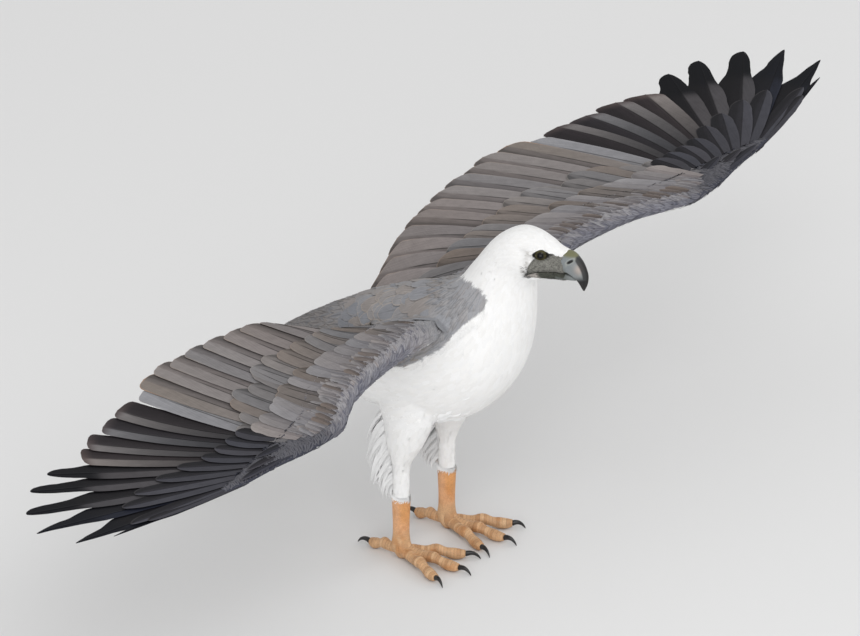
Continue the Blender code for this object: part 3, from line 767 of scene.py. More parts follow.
def normals_of(mesh: bpy.types.Mesh) -> Array:
    """The normals at a mesh's points.

    Args:
        mesh: The mesh.

    Returns:
        The normals.
    """
    flat = np.empty(len(mesh.vertices) * 3)
    mesh.vertex_normals.foreach_get("vector", flat)
    return flat.reshape(-1, 3)


def move_points(mesh: bpy.types.Mesh, places: Array) -> None:
    """Moves a mesh's points."""
    mesh.vertices.foreach_set("co", places.astype(np.float32).ravel())
    mesh.update()


def paint(mesh: bpy.types.Mesh, name: str, values: Array) -> None:
    """Keeps a colour or a value at each point of a mesh.

    Args:
        mesh: The mesh.
        name: The attribute's name.
        values: A row of three, or one number, to each point.
    """
    kind, key = ("FLOAT_COLOR", "color") if values.ndim == 2 else ("FLOAT", "value")
    if values.ndim == 2:
        values = np.c_[values, np.ones(len(values))]
    mesh.attributes.new(name, kind, "POINT").data.foreach_set(key, values.astype(np.float32).ravel())


# Trunk, neck and head: ahead and up of the top and of the underside, and half width
TORSO_ROWS = (
    (-0.27, 0.282, -0.246, 0.245, 0.03), (-0.222, 0.319, -0.18, 0.243, 0.055),
    (-0.17, 0.354, -0.108, 0.231, 0.075), (-0.12, 0.384, -0.038, 0.222, 0.086),
    (-0.068, 0.411, 0.033, 0.225, 0.09), (-0.012, 0.437, 0.093, 0.245, 0.091),
    (0.03, 0.455, 0.142, 0.29, 0.088), (0.057, 0.467, 0.174, 0.343, 0.081),
)
NECK_ROWS = (
    (0.075, 0.481, 0.19, 0.403, 0.07), (0.09, 0.502, 0.196, 0.452, 0.058),
    (0.108, 0.526, 0.197, 0.488, 0.05),
)
HEAD_ROWS = (
    (0.126, 0.551, 0.199, 0.499, 0.045), (0.147, 0.572, 0.207, 0.509, 0.043),
    (0.176, 0.5895, 0.219, 0.512, 0.042), (0.207, 0.5925, 0.231, 0.5175, 0.037),
    (0.234, 0.5845, 0.242, 0.5205, 0.0285), (0.252, 0.5785, 0.252, 0.522, 0.0215),
    (0.267, 0.577, 0.265, 0.5235, 0.0185),
)
# The bare lores' upper and lower edge: places ahead and their heights
LORES_TOP = (
    (0.208, 0.213, 0.217, 0.223, 0.236, 0.252), (0.529, 0.535, 0.548, 0.5605, 0.5685, 0.5675),
)
LORES_LOW = ((0.208, 0.2195, 0.233, 0.245, 0.252), (0.5275, 0.526, 0.5245, 0.52, 0.513))
# The line of the mouth behind the bill, as ahead and up
MOUTH_LINE = (
    (0.2085, 0.5275), (0.211, 0.5295), (0.219, 0.5345), (0.228, 0.538), (0.246, 0.5405), (0.26, 0.5412),
    (0.27, 0.5403),
)
# Feathered thigh: up, ahead, half length, out, half width
THIGH_ROWS = (
    (0.0973, 0.0, 0.0138, 0.059, 0.0125), (0.125, 0.0, 0.015, 0.059, 0.0138),
    (0.155, 0.0, 0.0172, 0.0588, 0.016), (0.175, 0.002, 0.024, 0.058, 0.0215),
    (0.195, 0.005, 0.033, 0.057, 0.0275), (0.225, 0.009, 0.042, 0.055, 0.033),
    (0.26, 0.006, 0.054, 0.05, 0.036), (0.3, 0.0, 0.05, 0.044, 0.034),
)


@dataclass(frozen=True)
class WingForm:
    """The spread wing's surfaces, over places given as out and ahead.

    Attributes:
        leading, trailing: The wing's edges.
        front_up: Height of the front edge.
        drop: How much lower the rear edge lies.
        chord, thickness: The arm's length from front to back, and how thick it is.
        sink: How much lower than the feathers its middle lies.
        profile: Share of the thickness, over shares of the chord.
        lean: How far the feathers point outward, in degrees.
        root_out, tip_out: Where the arm starts and ends.
        tilt: How much the outer vane of each feather rises.
    """

    leading: Table = (
        (0.055, 0.084), (0.105, 0.101), (0.225, 0.112), (0.3, 0.122), (0.365, 0.137), (0.4125, 0.158),
        (0.45, 0.176), (0.52, 0.176), (0.6, 0.16), (0.675, 0.149), (0.75, 0.134),
        (0.825, 0.117), (0.885, 0.099), (0.96, 0.06),
    )
    trailing: Table = (
        (0.055, -0.15), (0.1, -0.158), (0.194, -0.176), (0.3, -0.18), (0.37, -0.176),
        (0.46, -0.178), (0.532, -0.162), (0.6, -0.146), (0.66, -0.13), (0.712, -0.11),
        (0.805, -0.11), (0.865, -0.1), (0.93, -0.062), (0.96, -0.01),
    )
    front_up: Table = (
        (0.055, 0.414), (0.11, 0.427), (0.2, 0.435), (0.45, 0.438), (0.75, 0.434), (0.97, 0.432),
    )
    drop: Table = (
        (0.055, 0.088), (0.1, 0.072), (0.194, 0.033), (0.3, 0.025),
        (0.45, 0.018), (0.6, 0.018), (0.75, 0.011), (0.97, 0.004),
    )
    chord: Table = ((0.055, 0.145), (0.12, 0.12), (0.225, 0.088), (0.45, 0.085), (0.6, 0.045), (0.7, 0.018))
    thickness: Table = (
        (0.055, 0.034), (0.12, 0.036), (0.225, 0.028), (0.45, 0.02), (0.6, 0.012), (0.7, 0.008),
    )
    sink: Table = ((0.055, 0.0), (0.48, 0.0), (0.585, 0.0025), (0.66, 0.005), (0.7, 0.005))
    profile: Table = (
        (0.0, 0.1), (0.05, 0.62), (0.12, 0.9), (0.3, 1.0), (0.65, 0.72), (1.0, 0.36), (1.4, 0.08),
        (1.8, 0.0),
    )
    lean: Table = ((0.06, 16.0), (0.25, 15.0), (0.4, 10.0), (0.504, 5.0))
    root_out: float = 0.055
    tip_out: float = 0.7
    tilt: float = 0.04

    def height(self, out: Array, ahead: Array) -> Array:
        """The height of the flight feathers' own surface.

        Args:
            out: How far out the places lie.
            ahead: How far ahead they lie.

        Returns:
            The heights.
        """
        front, back = curve(self.leading, out), curve(self.trailing, out)
        share = np.clip((front - ahead) / (front - back), 0.0, 1.0)
        return curve(self.front_up, out) - curve(self.drop, out) * share**1.2

    def arm_place(self, out: Array | float, share: float) -> float:
        """How far ahead a share of the arm's chord lies, from its front."""
        return float(curve(self.leading, out) - curve(self.chord, out) * share)

    def bulge(self, out: Array, ahead: Array) -> Array:
        """How far the arm stands out above and below its middle.

        Args:
            out: How far out the places lie.
            ahead: How far ahead they lie.

        Returns:
            Half of the arm's thickness there.
        """
        share = (curve(self.leading, out) - ahead) / curve(self.chord, out)
        fade = smooth(self.tip_out + 0.05, self.tip_out - 0.05, out)
        return curve(self.thickness, out) / 2 * curve(self.profile, share) * fade

    def over(self, out: Array, ahead: Array) -> Array:
        """The height of the upper side under the coverts."""
        return self.height(out, ahead) - curve(self.sink, out) + self.bulge(out, ahead)

    def under(self, out: Array, ahead: Array) -> Array:
        """The height of the underside over its coverts."""
        return self.height(out, ahead) - curve(self.sink, out) - self.bulge(out, ahead)

    def arm_rings(self, side: int, inset: float) -> list[Array]:
        """Sections of the arm for the skin, thinner by an inset.

        Args:
            side: 1 for the bird's left, -1 for its right.
            inset: How much thinner it is.

        Returns:
            The sections' points.
        """
        shares = np.array([0.0, 0.03, 0.08, 0.16, 0.3, 0.45, 0.62, 0.8, 0.97])
        full = curve(self.profile, shares)
        rings = []
        for out in np.linspace(self.root_out, self.tip_out, 56):
            front, chord = curve(self.leading, out), curve(self.chord, out)
            half = max(curve(self.thickness, out) / 2 - inset, 0.0012)
            ahead = front - inset - (chord - inset) * shares
            middle = self.height(out, ahead) - curve(self.sink, out)
            upper = world(side * out, ahead, middle + half * full)
            lower = world(side * out, ahead, middle - half * full)
            rings.append(np.concatenate([upper, lower[::-1]]))
        return rings


WING = WingForm()


@dataclass(frozen=True)
class EyePlace:
    """Where each eye sits and how its lids lie."""

    out: float = 0.0158
    ahead: float = 0.2265
    up: float = 0.562
    radius: float = 0.0115
    turn: float = math.radians(24)
    lean: float = math.radians(15)
    slant: float = -0.1

    def frame(self, side: int) -> tuple[Array, Array, Array, Array]:
        """The eye's centre, the way its lids face, and the directions ahead and up along them.

        Args:
            side: 1 for the bird's left, -1 for its right.

        Returns:
            The centre and the three directions.
        """
        centre = world(side * self.out, self.ahead, self.up)
        facing = unit(np.array([side * math.cos(self.turn), -math.sin(self.turn), math.tan(self.lean)]))
        forward = np.array([-side * math.sin(self.turn), -math.cos(self.turn), 0.0])
        return centre, facing, forward, side * np.cross(forward, facing)

    def offsets(self, side: int, places: Array) -> tuple[Array, Array, Array]:
        """How far places lie ahead of, above and outside an eye's centre, along its lids.

        Args:
            side: 1 for the bird's left, -1 for its right.
            places: Places of the part's frame.

        Returns:
            The three distances.
        """
        centre, facing, forward, upward = self.frame(side)
        away = places - centre
        return away @ forward, away @ upward, away @ facing


EYE = EyePlace()

# Outline of the slate back in the side view, as (ahead, up): everything inside it is grey
BACK_OUTLINE = (
    (0.074, 0.474), (0.092, 0.489), (0.12, 0.4945), (0.1417, 0.4905), (0.1531, 0.481), (0.15, 0.464),
    (0.1335, 0.4459), (0.1161, 0.4265), (0.0899, 0.3889), (0.0557, 0.3631), (0.029, 0.3437),
    (-0.0032, 0.335), (-0.09, 0.31), (-0.18, 0.28), (-0.262, 0.256), (-0.33, 0.21), (-0.36, 0.24),
    (-0.33, 0.3), (-0.2, 0.42), (0.0, 0.5),
)


def inside_back(ahead: Array, up: Array) -> Array:
    """How far a place lies inside the slate back, in metres, negative outside.

    Args:
        ahead: How far ahead they lie.
        up: How high they lie.

    Returns:
        The distances.
    """
    corners = np.array(BACK_OUTLINE)
    ends = np.roll(corners, -1, axis=0)
    spot = np.stack([ahead, up], axis=-1)[..., None, :]
    along = ends - corners
    share = np.clip(((spot - corners) * along).sum(-1) / (along**2).sum(-1), 0, 1)
    gap = np.linalg.norm(spot - corners - along * share[..., None], axis=-1).min(-1)
    a, b = corners[:, 1], ends[:, 1]
    level = spot[..., 1]
    crosses = (a > level) != (b > level)
    reach = corners[:, 0] + (level - a) / np.where(b == a, 1e-9, b - a) * along[:, 0]
    inside = (crosses & (spot[..., 0] < reach)).sum(-1) % 2 == 1
    return np.where(inside, gap, -gap)


class Tints(Enum):
    """The plumage's colours as the photograph shows them."""

    WHITE = shade(237, 237, 237)
    WARM_WHITE = shade(232, 230, 226)
    BACK_GREY = shade(146, 145, 147)
    BACK_BROWN = shade(146, 140, 137)
    BACK_BLUE = shade(134, 136, 142)
    MANTLE_PALE = shade(166, 167, 171)
    RUMP_GREY = shade(110, 108, 109)
    BUFF = shade(178, 167, 156)
    ARM_LILAC = shade(150, 147, 150)
    ARM_PALE = shade(164, 162, 165)
    ARM_SLATE = shade(108, 107, 117)
    ARM_EDGE = shade(80, 84, 101)
    ARM_BROWN = shade(142, 131, 127)
    WRIST = shade(50, 52, 63)
    LORE = shade(128, 127, 121)
    LORE_DARK = shade(64, 62, 58)
    CHIN = shade(76, 78, 70)
    GAPE = shade(196, 188, 182)
    # Painted shade in the groove of the gape
    MOUTH = shade(34, 32, 28)
    # Painted shade behind and below the eyes and by the gape
    SMUDGE = shade(150, 146, 142)
    LID = shade(30, 29, 27)


@dataclass
class Skin:
    """The one skin that carries the coat: trunk, neck, head, thighs, rump and the arms of the wings.

    Attributes:
        voxel: How finely it is made.
        ring_points: Points round each of the trunk's sections.
        body_inset, arm_inset: How much thinner it is than the bird with its feathers.
        tail_slope: How steeply the tail hangs.
        dish: How far the eye's hollow lies outside the eye's centre.
        bare_swell: How far the bare lores stand out.
        shade_spots: Spots of painted shade behind and below the eye and by the gape: ahead, up, their reach
            both ways and strength.
        mesh, tree, facing: The finished mesh, its search tree and the normals of its faces.
        spine: The middle of each of the trunk's sections.
    """

    voxel: float = 3.0 * MM
    ring_points: int = 56
    body_inset: float = 2.4 * MM
    arm_inset: float = 1.3 * MM
    tail_slope: float = math.radians(36)
    dish: float = 5.6 * MM
    bare_swell: float = 0.9 * MM
    shade_spots: Rows = (
        (0.213, 0.564, 0.0065, 0.004, 0.55), (0.205, 0.569, 0.008, 0.003, 0.25),
        (0.213, 0.552, 0.0045, 0.008, 0.5), (0.2075, 0.536, 0.0045, 0.007, 0.6),
    )
    mesh: bpy.types.Mesh | None = None
    tree: BVHTree | None = None
    facing: Array | None = None
    spine: Array | None = None

    def body_rings(self) -> list[Array]:
        """Sections of the trunk, neck and head.

        Returns:
            The sections' points.
        """
        rows = np.array(TORSO_ROWS + NECK_ROWS + HEAD_ROWS)
        steps = np.linspace(0, len(rows) - 1, 120)
        flat = np.stack([curve(tuple(enumerate(column)), steps) for column in rows.T], axis=-1)
        top = world(0.0, flat[:, 0], flat[:, 1])
        low = world(0.0, flat[:, 2], flat[:, 3])
        self.spine = (top + low) / 2
        turns = 2 * np.pi * np.arange(self.ring_points) / self.ring_points
        rings = []
        for a, b, half in zip(top, low, flat[:, 4]):
            inset = self.body_inset * float(1 - 0.45 * smooth(0.48, 0.56, a[2]))
            rise = (a - b) / 2
            rise *= 1 - inset / np.linalg.norm(rise)
            section = ring((a + b) / 2, np.array([half - inset, 0, 0]), rise, self.ring_points)
            ahead = ANKLE_Y - a[1]
            narrow = 0.4 * float(smooth(0.14, 0.215, ahead)) - 0.12 * float(smooth(0.235, 0.262, ahead))
            section[:, 0] *= 1 - narrow * np.maximum(np.cos(turns), 0)
            rings.append(section)
        return rings

    def rump_rings(self) -> list[Array]:
        """Sections of the rump that carries the tail.

        Returns:
            The sections' points.
        """
        along = np.array([0, math.cos(self.tail_slope), -math.sin(self.tail_slope)])
        upward = np.array([0, math.sin(self.tail_slope), math.cos(self.tail_slope)])
        root = world(0.0, -0.2484, 0.2705)
        rows = ((0.0, 0.027, 0.0165), (0.045, 0.027, 0.011), (0.08, 0.026, 0.0065), (0.103, 0.02, 0.004))
        return [ring(root + along * far, np.array([w, 0, 0]), upward * t, 28) for far, w, t in rows]

    def thigh_rings(self, side: int) -> list[Array]:
        """Sections of one thigh.

        Args:
            side: 1 for the bird's left, -1 for its right.

        Returns:
            The sections' points.
        """
        rows = np.array(THIGH_ROWS)
        ups = np.linspace(rows[0, 0], rows[-1, 0], 40)
        columns = [curve(tuple(zip(rows[:, 0], rows[:, k])), ups) for k in (1, 2, 3, 4)]
        rings = []
        for up, ahead, half_length, out, half_width in zip(ups, *columns):
            inset = np.interp(up, (0.1, 0.16), (1.0 * MM, 3.4 * MM))
            across, length = np.array([half_width - inset, 0, 0]), np.array([0, half_length - inset, 0])
            rings.append(ring(world(side * out, ahead, up), across, length, 36))
        return rings

    def sculpt(self, places: Array, normals: Array) -> Array:
        """Hollows for the eyes, ledges for the brows, swollen lores and the line of the mouth.

        Args:
            places: The mesh's points.
            normals: The skin's normals there.

        Returns:
            Where they are moved to.
        """
        moved = places.copy()
        for side in SIDES:
            ahead, rise, out = EYE.offsets(side, places)
            near = out > 0
            rise = rise + EYE.slant * ahead
            brow = np.exp(-(((rise - 0.009) / 0.0034) ** 2) - ((ahead / 0.015) ** 2)) * near
            moved += normals * (brow * 0.9 * MM)[:, None]
            reach = np.hypot(ahead / 0.0145, rise / 0.0068)
            limit = self.dish + 0.012 * np.maximum(reach - 0.85, 0)
            excess = np.maximum(EYE.offsets(side, moved)[2] - limit, 0) * near * smooth(1.6, 1.3, reach)
            moved -= EYE.frame(side)[1] * excess[:, None]
        moved += normals * (self.bareness(places) * self.bare_swell)[:, None]
        line = self.mouth_gap(moved)
        return moved - normals * (np.exp(-((line / 0.0011) ** 2)) * 1.3 * MM)[:, None]

    @staticmethod
    def mouth_gap(places: Array) -> Array:
        """Height above the line of the mouth, far off behind it."""
        _, ahead, up = measures(places)
        return up - curve(MOUTH_LINE, ahead) + 0.05 * smooth(0.2105, 0.208, ahead)

    def build(self) -> None:
        """Makes the skin's mesh and the tree that feathers are rooted by."""
        shapes = [loft(self.body_rings()), loft(self.rump_rings())]
        for side in SIDES:
            shapes += [loft(self.thigh_rings(side)), loft(WING.arm_rings(side, self.arm_inset))]
        rough = to_mesh(shapes, "skin")
        remesh = ("REMESH", {"mode": "VOXEL", "voxel_size": self.voxel, "use_smooth_shade": True})
        mesh = evaluated(rough, remesh, ("SMOOTH", {"factor": 0.5, "iterations": 4}))
        mesh = self.refine_face(mesh)
        move_points(mesh, self.sculpt(points_of(mesh), normals_of(mesh)))
        self.mesh = mesh
        places = points_of(mesh)
        faces = [tuple(face.vertices) for face in mesh.polygons]
        self.tree = BVHTree.FromPolygons([Vector(p) for p in places], faces)
        normals = normals_of(mesh)
        self.facing = unit(np.array([normals[list(face)].sum(0) for face in faces]))

    @staticmethod
    def refine_face(mesh: bpy.types.Mesh) -> bpy.types.Mesh:
        """Cuts the faces round the eyes and the gape finer.

        Args:
            mesh: The mesh.

        Returns:
            The same mesh.
        """
        shape = bmesh.new()
        shape.from_mesh(mesh)
        limit = ANKLE_Y - 0.2
        face = {v for v in shape.verts if v.co.y < limit and v.co.z > 0.5 and abs(v.co.x) < 0.06}
        edges = [edge for edge in shape.edges if face.issuperset(edge.verts)]
        bmesh.ops.subdivide_edges(shape, edges=edges, cuts=2, use_grid_fill=True, smooth=0.5)
        shape.to_mesh(mesh)
        shape.free()
        return mesh

    def tints(self, places: Array, rough: Array) -> Array:
        """The plumage's colour at places on the bird, for skin and coat alike.

        Args:
            places: Places of the part's frame.
            rough: A random value from 0 to 1 for each, which makes the borders uneven.

        Returns:
            A colour for each place.
        """
        out, ahead, up = measures(places)
        jitter = (rough - 0.5) * 2 * (0.6 + 1.6 * smooth(0.455, 0.48, up)) * MM
        grey = smooth(-0.8 * MM, 0.8 * MM, inside_back(ahead, up) + jitter)
        grey = np.where(out > 0.092, np.maximum(self.on_top(out, ahead, up), grey * (out < 0.115)), grey)
        rim = smooth(0.02, 0.004, curve(WING.leading, out) - ahead) * smooth(0.15, 0.2, out)
        lilac = layered(
            Tints.ARM_LILAC.value,
            (Tints.ARM_PALE.value, smooth(0.55, 1.0, rough)),
            (Tints.ARM_SLATE.value, smooth(0.4, 0.0, rough)),
            (Tints.ARM_BROWN.value, smooth(0.83, 0.95, np.mod(rough * 7.3, 1.0)) * 0.6),
            (Tints.ARM_EDGE.value, rim * 0.7),
            (Tints.WRIST.value, smooth(0.41, 0.51, out) * 0.9),
        )
        back = layered(
            Tints.BACK_GREY.value,
            (Tints.BACK_BROWN.value, smooth(0.45, 1.0, rough)),
            (Tints.BACK_BLUE.value, smooth(0.45, 0.0, rough)),
            (Tints.MANTLE_PALE.value, smooth(0.03, 0.085, ahead) * 0.6),
            (Tints.RUMP_GREY.value, smooth(-0.08, -0.2, ahead) * 0.8),
            (lilac, smooth(0.095, 0.15, out)),
        )
        colour = layered(Tints.WHITE.value, (Tints.WARM_WHITE.value, rough * 0.35), (back, grey))
        # Grey painted shade behind and below each eye and by the gape
        for a, u, wide, tall, share in self.shade_spots:
            near = np.exp(-(((ahead - a) / wide) ** 2) - (((up - u) / tall) ** 2)) * share
            colour = blend(colour, Tints.SMUDGE.value, np.clip(near * (0.6 + 0.8 * rough), 0, 1))
        return colour

    @staticmethod
    def on_top(out: Array, ahead: Array, up: Array) -> Array:
        """Whether places on an arm belong to its slate upper side and front.

        Args:
            out: How far out the places lie.
            ahead: How far ahead they lie.
            up: How high they lie.

        Returns:
            True where they do.
        """
        front = curve(WING.leading, out)
        level = WING.height(out, np.minimum(ahead, front)) - curve(WING.sink, out)
        drop = np.interp(out, (0.092, 0.15, 0.5), (12 * MM, 5 * MM, 3 * MM))
        return (up > level - drop) | (ahead > front - 0.01)

    def face_tints(self, places: Array, colour: Array) -> Array:
        """The bare face: dark lids, grey lores and the groove of the gape, painted near black as painted
        shade.

        Args:
            places: Places of the part's frame.
            colour: The colours there without the bare face.

        Returns:
            The new colours.
        """
        bare, gap = self.bareness(places), self.mouth_gap(places)
        below = bare * smooth(0.0008, -0.0014, gap)
        chin = smooth(0.222, 0.232, ANKLE_Y - places[:, 1])
        colour = layered(
            colour,
            (Tints.LORE.value, bare),
            (Tints.CHIN.value, below * chin),
            (Tints.GAPE.value, below * (1 - chin) * 0.8),
            # Painted shade: the groove of the gape painted near black
            (Tints.MOUTH.value, np.exp(-((gap / 0.0009) ** 2)) * bare),
            (Tints.LORE_DARK.value, bare * np.exp(-((gap - 0.003) / 0.0016) ** 2) * 0.35),
        )
        for side in SIDES:
            ahead, rise, out = EYE.offsets(side, places)
            rise = rise + EYE.slant * ahead
            rim = np.hypot(ahead / 2.3, rise)
            streak = np.exp(-(((ahead - 0.015) / 0.006) ** 2) - (((rise - 0.0015) / 0.002) ** 2)) * 0.9
            dark = np.maximum(smooth(0.0068, 0.005, rim), streak) * (out > 0)
            colour = blend(colour, Tints.LID.value, dark)
        return colour

    @staticmethod
    def bareness(places: Array) -> Array:
        """Share of bare, bristly skin: the lores between the eye, the bill and the gape.

        Args:
            places: Places of the part's frame.

        Returns:
            The shares.
        """
        _, ahead, up = measures(places)
        top = np.interp(ahead, *LORES_TOP)
        low = np.interp(ahead, *LORES_LOW)
        back = smooth(0.2065, 0.2105, ahead)
        return back * smooth(-1.5 * MM, 1.5 * MM, top - up) * smooth(-1.5 * MM, 1.5 * MM, up - low)

    def publish(self, shop: Workshop) -> None:
        """Hands in the skin.

        Args:
            shop: Where the pieces are handed in.
        """
        places = points_of(self.mesh)
        rough = np.random.default_rng(SEED).random(len(places)) * 0.2 + 0.4
        paint(self.mesh, "tint", self.face_tints(places, self.tints(places, rough)))
        paint(self.mesh, "bare", self.bareness(places))
        nodes = ["torso", "neck", "head", "tail"]
        nodes += [f"{kind}_{WORDS[side]}" for kind in ("thigh", "wing") for side in SIDES]
        shop.publish("skin", self.mesh, SkinFinish(), Slot.WHITE, *nodes)


@dataclass(frozen=True)
class Tract:
    """One tract of small feathers and how they grow.

    Attributes:
        name: The coat piece that it belongs to.
        length, half_width: Size of a feather.
        spacing: Distance between roots.
        low, high: Height over the skin at root and tip, or at root and middle where it is sleek.
        camber: How far the edges droop, as a share of the half width.
        pointed: Whether the tips are narrow.
        hem, quill: How strongly the edge and the quill show; only the grey tracts have a hem.
        rows, columns: How finely each is made.
        trim: The edge's colour.
        turn: How unevenly they point, in degrees.
        sleek: Whether each arches and dips under the next, as in the white coat.
    """

    name: str
    length: float
    half_width: float
    spacing: float
    low: float
    high: float
    camber: float = 0.22
    pointed: bool = False
    hem: float = 0.0
    quill: float = 0.0
    rows: int = 6
    columns: int = 3
    trim: Tints = Tints.WHITE
    turn: float = 9.0
    sleek: bool = False


class Zone(Enum):
    """The bird's feather tracts."""

    HEAD = Tract("coat_head", 10 * MM, 2.4 * MM, 2.8 * MM, 0.1 * MM, 0.4 * MM, 0.2, True, sleek=True)
    NECK = Tract("coat_neck", 22 * MM, 4.0 * MM, 4.4 * MM, 0.1 * MM, 0.6 * MM, 0.18, True, sleek=True)
    BREAST = Tract("coat_breast", 34 * MM, 6.4 * MM, 6.2 * MM, 0.1 * MM, 0.8 * MM, 0.15, True, sleek=True)
    BELLY = Tract("coat_belly", 36 * MM, 6.8 * MM, 6.6 * MM, 0.1 * MM, 0.8 * MM, 0.15, True, sleek=True)
    UNDERTAIL = Tract("coat_undertail", 52 * MM, 11 * MM, 11 * MM, 0.4 * MM, 2.6 * MM, 0.1)
    MANTLE = Tract(
        "coat_mantle", 30 * MM, 5 * MM, 5.4 * MM, 0.3 * MM, 2.2 * MM, 0.12, True, 0.1, 0.3, 8, 5,
        Tints.BUFF, 12.0,
    )
    SCAPULAR = Tract(
        "coat_scapular", 52 * MM, 14 * MM, 14 * MM, 0.4 * MM, 4.4 * MM, 0.06, False, 0.6, 0.2, 9, 7,
        Tints.BUFF, 5.0,
    )
    RUMP = Tract(
        "coat_rump", 46 * MM, 9 * MM, 9 * MM, 0.4 * MM, 3.0 * MM, 0.12, True, 0.15, 0.4, 8, 5, Tints.BUFF
    )
    THIGH = Tract("coat_thigh", 36 * MM, 6.0 * MM, 6.2 * MM, 0.1 * MM, 0.8 * MM, 0.16, True, sleek=True)
    SHIN = Tract("coat_shin", 20 * MM, 3.2 * MM, 3.6 * MM, 0.1 * MM, 0.5 * MM, 0.18, True, sleek=True)
    ARM_TOP = Tract(
        "coat_arm_top", 19 * MM, 3.0 * MM, 3.5 * MM, 0.4 * MM, 1.9 * MM, 0.08, True, 0.2, 0.2, 6, 3,
        Tints.ARM_PALE, 15.0,
    )
    ARM_UNDER = Tract("coat_arm_under", 24 * MM, 6.0 * MM, 6.4 * MM, 0.5 * MM, 3.0 * MM)


def bake_patch(u: Array, shares: Array) -> Array:
    """A small feather's own patch on the bake map, by row and column."""
    return BAKE_PATCH * np.stack(np.broadcast_arrays((u + 1)[None, :] / 2, shares[:, None]), axis=-1)


